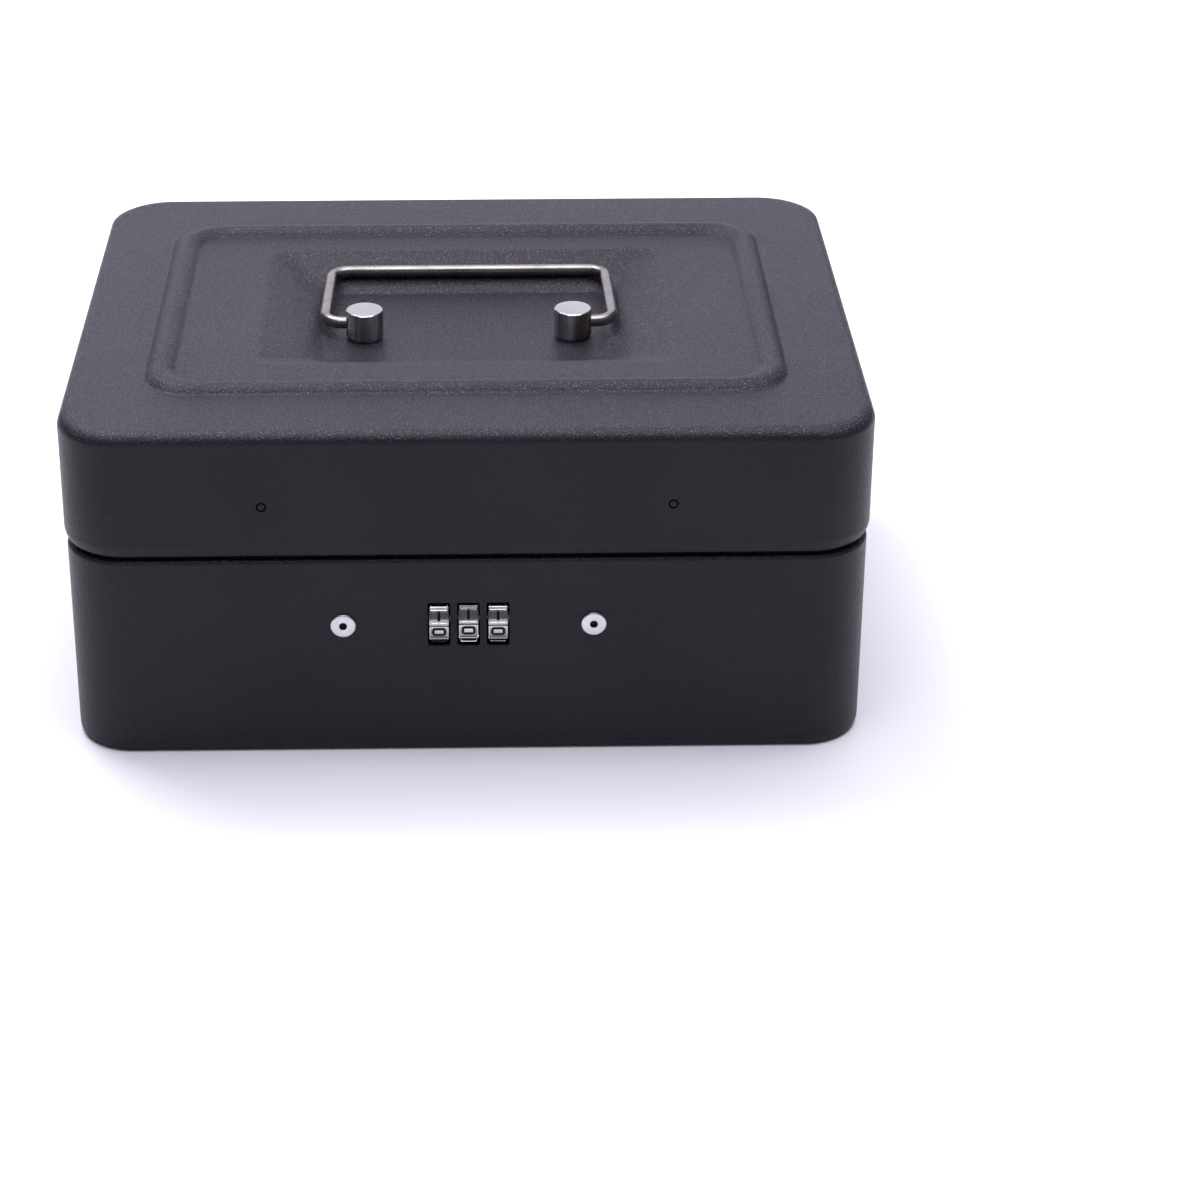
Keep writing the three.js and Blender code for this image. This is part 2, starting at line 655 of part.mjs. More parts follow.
// A round wire along a flat chain of straight stretches, with a closed end at each side.
function sweepRound(chain, radius, sides) {
  const nodes = [chain.curves[0].v1, ...chain.curves.map((curve) => curve.v2)];
  const vertices = [];
  const triangles = [];
  const up = new THREE.Vector3(0, 0, 1);
  nodes.forEach((node, index) => {
    const before = nodes[Math.max(index - 1, 0)];
    const after = nodes[Math.min(index + 1, nodes.length - 1)];
    const arrive = node.clone().sub(before).normalize();
    const leave = after.clone().sub(node).normalize();
    const along = arrive.clone().add(leave).normalize();
    const sideways = new THREE.Vector3().crossVectors(up, along);
    const straight = arrive.lengthSq() === 0 || leave.lengthSq() === 0;
    const stretch = straight ? 1 : 1 / Math.sqrt((1 + arrive.dot(leave)) / 2);
    for (let i = 0; i < sides; i += 1) {
      const angle = i / sides * 2 * Math.PI;
      const point = node.clone();
      point.addScaledVector(sideways, radius * stretch * Math.cos(angle));
      point.addScaledVector(up, radius * Math.sin(angle));
      vertices.push(point.x, point.y, point.z);
    }
  });
  const first = vertices.push(...nodes[0].toArray()) / 3 - 1;
  const last = vertices.push(...nodes.at(-1).toArray()) / 3 - 1;
  for (let level = 0; level + 1 < nodes.length; level += 1) {
    for (let i = 0; i < sides; i += 1) {
      const a = level * sides + i;
      const b = level * sides + (i + 1) % sides;
      triangles.push(a, b, b + sides, a, b + sides, a + sides);
    }
  }
  const end = (nodes.length - 1) * sides;
  for (let i = 0; i < sides; i += 1) {
    const next = (i + 1) % sides;
    triangles.push(first, next, i, last, end + i, end + next);
  }
  const geometry = new THREE.BufferGeometry();
  geometry.setAttribute('position', new THREE.Float32BufferAttribute(vertices, 3));
  geometry.setIndex(triangles);
  return geometry;
}

// ---------------------------------------------------------------- coin tray

// Four coin cups along the front and one long cup behind them.
function trayCups() {
  const { halfX, front, rear, wall, cupDepth } = TRAY;
  const cups = [];
  const cupWidth = (2 * halfX - 5 * wall) / 4;
  const split = front + cupDepth;
  for (let i = 0; i < 4; i += 1) {
    const x0 = -halfX + wall + i * (cupWidth + wall);
    cups.push({ x0, x1: x0 + cupWidth, y0: front + wall, y1: split });
  }
  cups.push({ x0: -halfX + wall, x1: halfX - wall, y0: split + wall, y1: rear - wall });
  return cups;
}

function coinTray() {
  const { halfX, front, rear, bottom, top, radius, wall, floor, rim, rimHeight } = TRAY;
  const body = [
    roundedBlock(halfX, front, rear, radius, bottom, top),
    roundedBlock(halfX + rim, front - rim, rear + rim, radius + rim, top - rimHeight, top),
  ];
  const cups = trayCups().map(({ x0, x1, y0, y1 }) => {
    const cup = roundedBlock((x1 - x0) / 2, y0, y1, radius - wall, bottom + floor, top + 1);
    return cup.translate((x0 + x1) / 2, 0, 0);
  });
  const half = TRAY.foot / 2;
  const reach = TRAY.footInset + half;
  const feet = [];
  for (const x of [-halfX + reach, halfX - reach]) {
    for (const y of [front + reach, rear - reach]) {
      feet.push(block(x - half, x + half, y - half, y + half, SHEET + GAP, bottom + 0.5));
    }
  }
  return combine([combine(body, cups), ...feet]);
}

// ---------------------------------------------------------------- assembly

const box = new THREE.Group();

const base = new THREE.Group();
const baseRear = DEPTH / 2 - BASE_INSET;
base.add(named('base_shell', baseShell(), BLACK_PAINT));
const baseLeaf = hingeLeaf(baseRear + GAP, HINGE.baseLeaf, 0, HINGE_RIVET.baseZ);
base.add(named('base_hinge_leaf', baseLeaf, BLACK_PAINT));
base.add(named('hinge_pin', hingePin(), ZINC_STEEL));
const lid = new THREE.Group();
lid.add(named('lid_shell', lidShell(), BLACK_PAINT));
const lidLeaf = hingeLeaf(DEPTH / 2 + GAP, HINGE.lidLeaf, 1, HINGE_RIVET.lidZ);
lid.add(named('lid_hinge_leaf', lidLeaf, BLACK_PAINT));
['left', 'middle', 'right'].forEach((place, index) => {
  const x = HINGE_RIVET.xs[index];
  const shape = rivet(HINGE_RIVET);
  const onBase = `base_hinge_rivet_${place}`;
  const onLid = `lid_hinge_rivet_${place}`;
  const leafFace = GAP + HINGE.leaf;
  base.add(placeRivet(onBase, shape, BLACK_PAINT, x, baseRear + leafFace, HINGE_RIVET.baseZ, 1));
  lid.add(placeRivet(onLid, shape, BLACK_PAINT, x, DEPTH / 2 + leafFace, HINGE_RIVET.lidZ, 1));
});

base.add(named('lock_case', lockCase(), ZINC_STEEL));
base.add(named('lock_cover', lockCover(), ZINC_STEEL));
base.add(named('detent_spring', detentSpring(), BRIGHT_STEEL));
for (const [place, side] of both) {
  const blind = rivet(LOCK_RIVET);
  const rivetX = side * LOCK_RIVET.x;
  base.add(placeRivet(`lock_rivet_${place}`, blind, BRIGHT_STEEL, rivetX, -baseRear, LOCK_RIVET.z, -1));
  const coverScrew = screw(COVER_SCREW);
  const coverFace = CASE.rear + 2 * GAP + SHEET;
  const screwX = side * COVER_SCREW.x;
  base.add(placeRivet(`cover_screw_${place}`, coverScrew, ZINC_STEEL, screwX, coverFace, COVER_SCREW.z, 1));
}

lid.add(named('catch_plate', catchPlate(), ZINC_STEEL));
for (const [place, side] of both) {
  const postX = HANDLE.centreX + side * HANDLE.spacing;
  const catchX = side * CATCH_RIVET.x;
  const catchName = `catch_rivet_${place}`;
  lid.add(placeRivet(catchName, flushRivet(), BLACK_PAINT, catchX, -DEPTH / 2, CATCH_RIVET.z, -1));
  const post = named(`handle_post_${place}`, handlePost(side), DARK_CHROME);
  const washer = named(`post_washer_${place}`, postWasher(), ZINC_STEEL);
  const postScrew = named(`post_screw_${place}`, screw(POST_SCREW), ZINC_STEEL);
  post.position.set(postX, HANDLE.pivotY, 0);
  washer.position.set(postX, HANDLE.pivotY, 0);
  const washerUnderside = LID_PLANE - DISH.depth - SHEET - GAP - POST_WASHER.thickness;
  postScrew.position.set(postX, HANDLE.pivotY, washerUnderside - GAP);
  postScrew.rotation.x = Math.PI;
  lid.add(post, washer, postScrew);
}

const handle = new THREE.Group();
handle.add(named('handle_bail', handleBail(), BRIGHT_STEEL));

const dials = new THREE.Group();
[-1, 0, 1].forEach((place, index) => {
  const wheel = named(`dial_wheel_${index + 1}`, dialWheel(), CHROME);
  const sleeve = named(`dial_sleeve_${index + 1}`, dialSleeve(), BRASS);
  wheel.position.set(place * DIAL.pitch, DIAL.y, DIAL.z);
  wheel.rotation.x = -THREE.MathUtils.degToRad(DIAL_PHASES[index]);
  sleeve.position.copy(wheel.position);
  dials.add(wheel, sleeve);
});

const codeChange = new THREE.Group();
codeChange.add(named('dial_spindle', dialSpindle(), BRIGHT_STEEL));
codeChange.add(named('spindle_spring', spindleSpring(), BRIGHT_STEEL));
codeChange.add(named('code_lever', codeLever(), ZINC_STEEL));

const tray = new THREE.Group();
tray.add(named('coin_tray', coinTray(), TRAY_PLASTIC));

box.add(base, lid, handle, dials, codeChange, tray);

export default box;
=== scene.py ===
"""Looks of the steel cash box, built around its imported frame."""

import json
import math
from collections import namedtuple

import bmesh
import bpy
from mathutils import Matrix, Quaternion, Vector


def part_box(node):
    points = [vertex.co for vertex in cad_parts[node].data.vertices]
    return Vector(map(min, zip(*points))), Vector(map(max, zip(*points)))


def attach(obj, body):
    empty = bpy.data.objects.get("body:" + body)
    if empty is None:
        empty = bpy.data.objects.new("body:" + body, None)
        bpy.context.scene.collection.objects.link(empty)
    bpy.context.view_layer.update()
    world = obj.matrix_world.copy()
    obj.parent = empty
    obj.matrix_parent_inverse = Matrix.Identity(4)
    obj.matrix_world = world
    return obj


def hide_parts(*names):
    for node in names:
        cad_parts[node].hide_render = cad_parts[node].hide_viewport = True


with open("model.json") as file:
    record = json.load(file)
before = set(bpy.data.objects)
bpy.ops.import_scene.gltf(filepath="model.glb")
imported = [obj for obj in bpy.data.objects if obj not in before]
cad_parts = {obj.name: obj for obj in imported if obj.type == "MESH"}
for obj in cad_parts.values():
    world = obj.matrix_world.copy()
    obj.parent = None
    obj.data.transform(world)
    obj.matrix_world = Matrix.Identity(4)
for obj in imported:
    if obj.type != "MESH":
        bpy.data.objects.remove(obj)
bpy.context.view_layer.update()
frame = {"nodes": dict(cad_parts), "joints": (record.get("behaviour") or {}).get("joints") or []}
nodes = frame["nodes"]

MM = 0.001
SHEET = 1.0 * MM
CORNER_STEPS = 14
SIDES = ("left", "right")
HINGE_ROW = ("left", "middle", "right")

# ---------------------------------------------------------------- sizes taken from the frame

lid_low, lid_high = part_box("lid_shell")
base_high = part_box("base_shell")[1]
LID_HALF = Vector((lid_high.x, lid_high.y))
BASE_HALF = Vector((base_high.x, base_high.y))
LID_EDGE = lid_low.z - 0.5 * MM
BEAD_HEIGHT = 1.8 * MM
LID_PLANE = lid_high.z - BEAD_HEIGHT
NECK_TOP = base_high.z
DISH_DEPTH = 6.2 * MM
DISH_FLOOR = LID_PLANE - DISH_DEPTH

joints = {joint["name"]: joint for joint in frame["joints"]}
HANDLE_PIVOT = Vector(joints["handle_fold"]["pos_m"])
HINGE_PIVOT = Vector(joints["lid_hinge"]["pos_m"])
DIAL_CENTRES = [Vector(joints[f"dial_{i}_turn"]["pos_m"]) for i in (1, 2, 3)]


def middle(node):
    low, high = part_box(node)
    return (low + high) / 2


def on_wall(node, depth):
    """The point of an upright wall, at this depth in Y, that is level with a node's middle."""
    centre = middle(node)
    return Vector((centre.x, depth, centre.z))


# ---------------------------------------------------------------- mesh helpers

def new_object(name, mesh, material, sharp=35):
    for polygon in mesh.polygons:
        polygon.use_smooth = True
    mesh.set_sharp_from_angle(angle=math.radians(sharp))
    mesh.materials.append(material)
    piece = bpy.data.objects.new(name, mesh)
    bpy.context.scene.collection.objects.link(piece)
    return piece


def mesh_from(vertices, faces):
    mesh = bpy.data.meshes.new("shape")
    mesh.from_pydata([tuple(v) for v in vertices], [], faces)
    mesh.validate()
    return mesh


def place(piece, body, slot, *replaced):
    """Sets which body the piece rides on and hides the CAD nodes that it stands for; slot, its finish, is
    not used.
    """
    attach(piece, body)
    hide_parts(*replaced)


def rounded_section(points, steps=4):
    """A chain of (across, up, radius) points with each corner rounded to its radius."""
    section = [Vector(points[0][:2])]
    for before, here, after in zip(points, points[1:], points[2:]):
        corner = Vector(here[:2])
        back = Vector(before[:2]) - corner
        ahead = Vector(after[:2]) - corner
        turn = math.pi - back.angle(ahead)
        if here[2] <= 0 or turn < 1e-3:
            section.append(corner)
            continue
        trim = here[2] * math.tan(turn / 2)
        trim = min(trim, back.length * 0.49, ahead.length * 0.49)
        start = corner + back.normalized() * trim
        end = corner + ahead.normalized() * trim
        for step in range(steps + 1):
            share = step / steps
            section.append(
                start * (1 - share) ** 2
                + corner * 2 * share * (1 - share)
                + end * share ** 2
            )
    section.append(Vector(points[-1][:2]))
    return section


def ring(half_x, half_y, radius, z):
    """A rounded rectangle at height z, counter-clockwise seen from above."""
    points = []
    for corner in range(4):
        sign_x = 1 if corner in (0, 3) else -1
        sign_y = 1 if corner < 2 else -1
        for step in range(CORNER_STEPS + 1):
            angle = (corner + step / CORNER_STEPS) * math.pi / 2
            points.append(Vector((
                sign_x * (half_x - radius) + radius * math.cos(angle),
                sign_y * (half_y - radius) + radius * math.sin(angle),
                z,
            )))
    return points


def loft(rings):
    """Faces through a list of rings, capped at both ends."""
    count = len(rings[0])
    vertices = [point for points in rings for point in points]
    top = (len(rings) - 1) * count
    faces = []
    for low in range(0, top, count):
        high = low + count
        for i in range(count):
            j = (i + 1) % count
            faces.append((low + i, low + j, high + j, high + i))
    faces.append(tuple(range(count - 1, -1, -1)))
    faces.append(tuple(range(top, top + count)))
    return mesh_from(vertices, faces)


def interpolate(keys, t):
    """The values at t, between those that keys holds as a list of (t, values)."""
    for (t0, v0), (t1, v1) in zip(keys, keys[1:]):
        if t <= t1:
            share = max(0.0, (t - t0) / (t1 - t0))
            return [a + (b - a) * share for a, b in zip(v0, v1)]
    return list(keys[-1][1])


def lathe(profile, segments, close=False):
    """A turned mesh about Z from (radius, height) points; close joins the last to the first."""
    vertices = []
    rows = []
    for radius, height in profile:
        if radius < 1e-7:
            rows.append([len(vertices)] * segments)
            vertices.append((0, 0, height))
            continue
        rows.append(list(range(len(vertices), len(vertices) + segments)))
        for i in range(segments):
            angle = 2 * math.pi * i / segments
            vertices.append((radius * math.cos(angle), radius * math.sin(angle), height))
    faces = []
    pairs = list(zip(rows, rows[1:]))
    if close:
        pairs.append((rows[-1], rows[0]))
    for low, high in pairs:
        for i in range(segments):
            j = (i + 1) % segments
            face = [low[i], low[j], high[j], high[i]]
            face = [v for k, v in enumerate(face) if v not in face[:k]]
            if len(face) > 2:
                faces.append(face)
    return mesh_from(vertices, faces)


def turned(points, segments, steps=3):
    """A lathe mesh from millimetre (radius, height, rounding) points."""
    section = rounded_section([[v * MM for v in p] for p in points], steps)
    return lathe([(p.x, p.y) for p in section], segments)


UPRIGHT = Matrix.Identity(4)
UPSIDE_DOWN = Matrix.Rotation(math.pi, 4, "X")
TO_FRONT = Matrix.Rotation(math.radians(90), 4, "X")
TO_REAR = Matrix.Rotation(math.radians(-90), 4, "X")
ALONG_X = Matrix.Rotation(math.radians(90), 4, "Y")


def set_mesh(mesh, turn, where):
    """The same mesh, turned about the origin and then moved."""
    mesh.transform(Matrix.Translation(where) @ turn)
    return mesh


def join(*meshes):
    """One smooth-shaded mesh of several, in the same frame."""
    result = bmesh.new()
    for mesh in meshes:
        result.from_mesh(mesh)
    for face in result.faces:
        face.smooth = True
    joined = bpy.data.meshes.new("joined")
    result.to_mesh(joined)
    result.free()
    return joined


def boolean(piece, operation, *meshes, sharp=35):
    """Joins meshes to a piece (UNION) or cuts them out of it (DIFFERENCE)."""
    other = bpy.data.objects.new("other", join(*meshes))
    bpy.context.scene.collection.objects.link(other)
    modifier = piece.modifiers.new("shape", "BOOLEAN")
    modifier.operation = operation
    modifier.solver = "EXACT"
    modifier.object = other
    graph = bpy.context.evaluated_depsgraph_get()
    finished = bpy.data.meshes.new_from_object(piece.evaluated_get(graph))
    piece.modifiers.clear()
    piece.data = finished
    finished.set_sharp_from_angle(angle=math.radians(sharp))
    bpy.data.objects.remove(other)


def block_mesh(low, high, bevel=0.15 * MM):
    """A box between two corners with its edges bevelled."""
    result = bmesh.new()
    bmesh.ops.create_cube(result, size=1)
    centre = (low + high) / 2
    for vertex in result.verts:
        vertex.co = centre + vertex.co * (high - low)
    bmesh.ops.bevel(result, geom=result.edges, offset=bevel, segments=2, affect="EDGES")
    mesh = bpy.data.meshes.new("block")
    result.to_mesh(mesh)
    result.free()
    return mesh


def sweep(route, radius, sides):
    """A round wire along a list of points, with flat ends."""
    count = len(route)
    vertices = []
    normal = Vector((0, 0, 1))
    for index, point in enumerate(route):
        along = route[min(index + 1, count - 1)] - route[max(index - 1, 0)]
        along.normalize()
        sideways = normal.cross(along)
        if sideways.length < 1e-4:
            sideways = Vector((0, 1, 0)).cross(along)
        sideways.normalize()
        normal = along.cross(sideways).normalized()
        for i in range(sides):
            angle = 2 * math.pi * i / sides
            vertices.append(point + radius * (sideways * math.cos(angle) + normal * math.sin(angle)))
    faces = []
    for level in range(count - 1):
        for i in range(sides):
            a = level * sides + i
            b = level * sides + (i + 1) % sides
            faces.append((a, b, b + sides, a + sides))
    faces.append(tuple(range(sides - 1, -1, -1)))
    faces.append(tuple(range((count - 1) * sides, count * sides)))
    return mesh_from(vertices, faces)


def rounded_route(corners, radius, steps=10):
    """A route through corner points, with a round bend of the same radius at each."""
    route = [corners[0]]
    for before, corner, after in zip(corners, corners[1:], corners[2:]):
        back = (before - corner).normalized()
        ahead = (after - corner).normalized()
        centre = corner + (back + ahead) * radius
        for step in range(steps + 1):
            angle = step / steps * math.pi / 2
            route.append(centre - ahead * radius * math.cos(angle) - back * radius * math.sin(angle))
    route.append(corners[-1])
    return route


# ---------------------------------------------------------------- materials

class Nodes:
    """A material's node tree, with short calls for what these materials need."""

    def __init__(self, name):
        self.material = bpy.data.materials.new(name)
        self.material.use_nodes = True
        self.tree = self.material.node_tree
        self.shader = self.tree.nodes["Principled BSDF"]
        coordinates = self.tree.nodes.new("ShaderNodeTexCoord")
        self.coords = coordinates.outputs["Object"]
        self.normal = coordinates.outputs["Normal"]

    def link(self, output, socket):
        self.tree.links.new(output, socket)

    def feed(self, value, socket):
        """Gives a socket its value: a link, a colour or a number."""
        if isinstance(value, bpy.types.NodeSocket):
            self.link(value, socket)
        elif isinstance(value, tuple):
            socket.default_value = (*value, 1)
        else:
            socket.default_value = value

    def mapped(self, scale):
        node = self.tree.nodes.new("ShaderNodeMapping")
        node.inputs["Scale"].default_value = scale
        self.link(self.coords, node.inputs["Vector"])
        return node.outputs["Vector"]

    def upward(self):
        """How far the surface faces up, in its body's own frame."""
        node = self.tree.nodes.new("ShaderNodeSeparateXYZ")
        self.link(self.normal, node.inputs["Vector"])
        return node.outputs["Z"]

    def product(self, a, b):
        node = self.tree.nodes.new("ShaderNodeMath")
        node.operation = "MULTIPLY"
        self.link(a, node.inputs[0])
        self.link(b, node.inputs[1])
        return node.outputs["Value"]

    def noise(self, scale, detail, roughness=0.5, vector=None):
        node = self.tree.nodes.new("ShaderNodeTexNoise")
        node.inputs["Scale"].default_value = scale
        node.inputs["Detail"].default_value = detail
        node.inputs["Roughness"].default_value = roughness
        self.link(vector or self.coords, node.inputs["Vector"])
        return node.outputs["Fac"]

    def ramp(self, value, stops):
        node = self.tree.nodes.new("ShaderNodeValToRGB")
        elements = node.color_ramp.elements
        while len(elements) < len(stops):
            elements.new(0.5)
        for element, (position, colour) in zip(elements, stops):
            element.position = position
            element.color = (*colour, 1)
        self.link(value, node.inputs["Fac"])
        return node.outputs["Color"]

    def spread(self, value, low, high, start=0.0, end=1.0):
        node = self.tree.nodes.new("ShaderNodeMapRange")
        node.inputs["From Min"].default_value = start
        node.inputs["From Max"].default_value = end
        node.inputs["To Min"].default_value = low
        node.inputs["To Max"].default_value = high
        self.link(value, node.inputs["Value"])
        return node.outputs["Result"]

    def mix(self, factor, a, b):
        node = self.tree.nodes.new("ShaderNodeMix")
        node.data_type = "RGBA"
        for value, socket in ((factor, node.inputs[0]), (a, node.inputs[6]), (b, node.inputs[7])):
            self.feed(value, socket)
        return node.outputs[2]

    def bump(self, height, distance, strength, before=None):
        node = self.tree.nodes.new("ShaderNodeBump")
        node.inputs["Strength"].default_value = strength
        node.inputs["Distance"].default_value = distance
        self.link(height, node.inputs["Height"])
        if before is not None:
            self.link(before, node.inputs["Normal"])
        return node.outputs["Normal"]

    def set(self, **values):
        for key, value in values.items():
            self.feed(value, self.shader.inputs[key.replace("_", " ").title().replace("Ior", "IOR")])


def powder_coat():
    """Black powder coat: a fine grain over a soft ripple, with pale specks of painted sparkle, a painted
    highlight of the lamps above, where it faces up.
    """
    m = Nodes("black_powder_coat")
    grain = m.noise(2300, 2, 0.6)
    ripple = m.noise(900, 2, 0.5)
    tone = m.ramp(m.noise(35, 3), [(0.35, (0.0125, 0.0119, 0.0168)), (0.65, (0.0152, 0.0146, 0.0203))])
    # Painted highlight: pale specks in the colour stand in for the lamps' sparkle on the grain, and they
    # are laid only where the coat faces up.
    sparkle_spots = m.spread(m.noise(2400, 1), 0.0, 1.0, 0.56, 0.76)
    painted_up_sparkle = m.product(sparkle_spots, m.spread(m.upward(), 0.1, 1.0, 0.3, 0.8))
    m.set(
        base_color=m.mix(painted_up_sparkle, tone, (0.115, 0.113, 0.138)),
        roughness=m.spread(ripple, 0.35, 0.43, 0.3, 0.7),
        specular_ior_level=0.18,
        normal=m.bump(grain, 0.16 * MM, 1.0, m.bump(ripple, 0.03 * MM, 0.4)),
    )
    return m.material


def metal(name, colour, roughness, wear, scratch, streaks=(1, 1, 1)):
    """Plated or drawn metal: streaked roughness, a slight change of tone and fine scratches."""
    m = Nodes(name)
    streak = m.noise(900, 4, 0.6, m.mapped(streaks))
    patch = m.noise(160, 3, 0.55)
    dark = tuple(c * (1 - wear * 2.5) for c in colour)
    m.set(
        base_color=m.ramp(patch, [(0.3, dark), (0.6, colour)]),
        metallic=1.0,
        roughness=m.spread(streak, roughness * 0.8, roughness * 1.35, 0.3, 0.7),
        normal=m.bump(streak, 0.01 * MM, scratch),
    )
    return m.material


def turned_nickel():
    """Dark nickel plate on turned posts: fine grooves round them and soft upright bands of painted
    reflection, from dark to near white, in its colour.
    """
    m = Nodes("dark_chrome")
    grooves = m.noise(700, 3, 0.6, m.mapped((0.15, 0.15, 8)))
    # Painted reflection: these upright bands from dark to near white stand in for lamps and shade mirrored
    # round the posts.
    painted_reflection_bands = m.noise(300, 2, 0.5, m.mapped((1, 1, 0.05)))
    reflection_band_colours = [(0.36, (0.26, 0.225, 0.2)), (0.5, (0.5, 0.46, 0.43)), (0.66, (0.95, 0.92, 0.9))]
    m.set(
        base_color=m.ramp(painted_reflection_bands, reflection_band_colours),
        metallic=1.0,
        roughness=m.spread(grooves, 0.16, 0.26, 0.3, 0.7),
        normal=m.bump(grooves, 0.03 * MM, 0.5),
    )
    return m.material


def moulded_plastic():
    """Black moulded plastic with a fine spark-eroded grain."""
    m = Nodes("tray_plastic")
    grain = m.noise(1500, 3, 0.6)
    tone = m.ramp(m.noise(40, 2), [(0.3, (0.016, 0.016, 0.018)), (0.7, (0.023, 0.023, 0.026))])
    m.set(
        base_color=tone,
        roughness=m.spread(grain, 0.38, 0.55, 0.3, 0.7),
        specular_ior_level=0.4,
        normal=m.bump(grain, 0.04 * MM, 0.6),
    )
    return m.material


def black_ink_and_hole_shade():
    """The dull black of the dials' figures, which is their print, and of the mandrels in the lock rivets,
    where it is painted shade down the rivets' holes in place of their steel.
    """
    m = Nodes("black_ink_and_hole_shade")
    grain = m.noise(2500, 2)
    m.set(
        base_color=m.ramp(grain, [(0.3, (0.004, 0.004, 0.005)), (0.7, (0.009, 0.009, 0.01))]),
        roughness=m.spread(grain, 0.4, 0.6),
        specular_ior_level=0.1,
    )
    return m.material


POWDER = powder_coat()
ZINC = metal("zinc_steel", (0.26, 0.264, 0.27), 0.45, wear=0.12, scratch=0.5, streaks=(1, 1, 6))
WIRE = metal("bright_steel", (0.285, 0.265, 0.25), 0.28, wear=0.12, scratch=0.9, streaks=(0.3, 1, 1))
RIVET = metal("rivet_aluminium", (0.62, 0.625, 0.64), 0.34, wear=0.06, scratch=0.5)
NICKEL = turned_nickel()
POST_TOP = metal("post_top", (0.45, 0.45, 0.42), 0.14, wear=0.03, scratch=0.1)
CHROME = metal("dial_chrome", (0.6, 0.595, 0.605), 0.12, wear=0.05, scratch=0.3)
BRASS = metal("sleeve_brass", (0.33, 0.25, 0.13), 0.34, wear=0.1, scratch=0.4, streaks=(4, 1, 1))
PLASTIC = moulded_plastic()
INK_AND_HOLE_SHADE = black_ink_and_hole_shade()


# ---------------------------------------------------------------- shells

LID_RADIUS = 15.5 * MM
LID_TOP_RADIUS = 3 * MM
LID_LIP = 2.6 * MM
LIP_INSET = 0.6 * MM
BEAD_FOOT = 19.5 * MM                 # the bead's outer foot, in from the lid's side
BEAD_HALF_DEPTH = 56.5 * MM
BEAD_WIDTH = 7.4 * MM
BEAD_RADII = (12 * MM, 8.5 * MM)      # in plan, of its outer foot and its inner one
BEAD_POWER = 0.85                     # below 1 the bead is fuller than a sine wave
BEAD_STEPS = 14
DISH_TOP = Vector((53.2, 37.8)) * MM
DISH_BOTTOM = Vector((37, 22)) * MM
DISH_RADII = (4 * MM, 2.6 * MM)       # in plan, at its top and its bottom
EDGE_STEPS = 6                        # of the round edge at the lid's top
POST_HOLE = 1.6 * MM                  # radii of the holes for rivets and screws
CATCH_HOLE = 1.28 * MM
LOCK_HOLE = 2.1 * MM
HINGE_HOLE = 1.5 * MM
LEAF_HOLE = 1.4 * MM
WALL_CUT = 3 * MM                     # lengths of the cutters that make the holes
LONG_CUT = 4 * MM


def lid_plan_keys():
    """(inset across X, (half width, half depth, corner radius)) of the lid's outlines."""
    outer = (LID_HALF.x, LID_HALF.y, LID_RADIUS)
    foot = LID_HALF.x - BEAD_FOOT
    bead_outer = (foot, BEAD_HALF_DEPTH, BEAD_RADII[0])
    bead_inner = (foot - BEAD_WIDTH, BEAD_HALF_DEPTH - BEAD_WIDTH, BEAD_RADII[1])
    rows = [outer, bead_outer, bead_inner, (*DISH_TOP, DISH_RADII[0]), (*DISH_BOTTOM, DISH_RADII[1])]
    return [(outer[0] - row[0], row) for row in rows]


def lid_section():
    """The lid's outer face in section, as (inset, height), from its edge to the dish's floor."""
    dish_start = LID_HALF.x - DISH_TOP.x
    dish_end = LID_HALF.x - DISH_BOTTOM.x
    wall = [
        (LIP_INSET, LID_EDGE, 0),
        (LIP_INSET * 0.3, LID_EDGE + LID_LIP * 0.5, 1.5 * MM),
        (0, LID_EDGE + LID_LIP, 2 * MM),
    ]
    top = []
    for step in range(EDGE_STEPS + 1):
        angle = step / EDGE_STEPS * math.pi / 2
        top.append((
            LID_TOP_RADIUS * (1 - math.cos(angle)),
            LID_PLANE - LID_TOP_RADIUS * (1 - math.sin(angle)),
            0,
        ))
    bead = [(BEAD_FOOT - 0.6 * MM, LID_PLANE, 0)]
    for step in range(BEAD_STEPS + 1):
        share = step / BEAD_STEPS
        rise = math.sin(math.pi * share) ** BEAD_POWER
        bead.append((BEAD_FOOT + BEAD_WIDTH * share, LID_PLANE + BEAD_HEIGHT * rise, 0))
    bead.append((BEAD_FOOT + BEAD_WIDTH + 0.4 * MM, LID_PLANE, 0))
    dish = [
        (dish_start, LID_PLANE, 5 * MM),
        (dish_end, DISH_FLOOR, 4 * MM),
        (dish_end + 4 * MM, DISH_FLOOR, 0),
    ]
    return rounded_section(wall + top + bead + dish, 6)


def offset_section(section, distance):
    """The section moved to its right-hand side, which is the sheet's inside."""
    moved = []
    for index, point in enumerate(section):
        before = section[max(index - 1, 0)]
        after = section[min(index + 1, len(section) - 1)]
        along = (after - before).normalized()
        moved.append(point + Vector((along.y, -along.x)) * distance)
    return moved


def lid_ring(point):
    """The lid's outline at a section point; past the dish's foot it shrinks evenly."""
    half_x, half_y, radius = interpolate(lid_plan_keys(), max(point.x, 0))
    if point.x > LID_HALF.x - DISH_BOTTOM.x:
        extra = point.x - (LID_HALF.x - DISH_BOTTOM.x)
        half_x -= extra
        half_y -= extra
    return ring(half_x, half_y, radius, point.y)


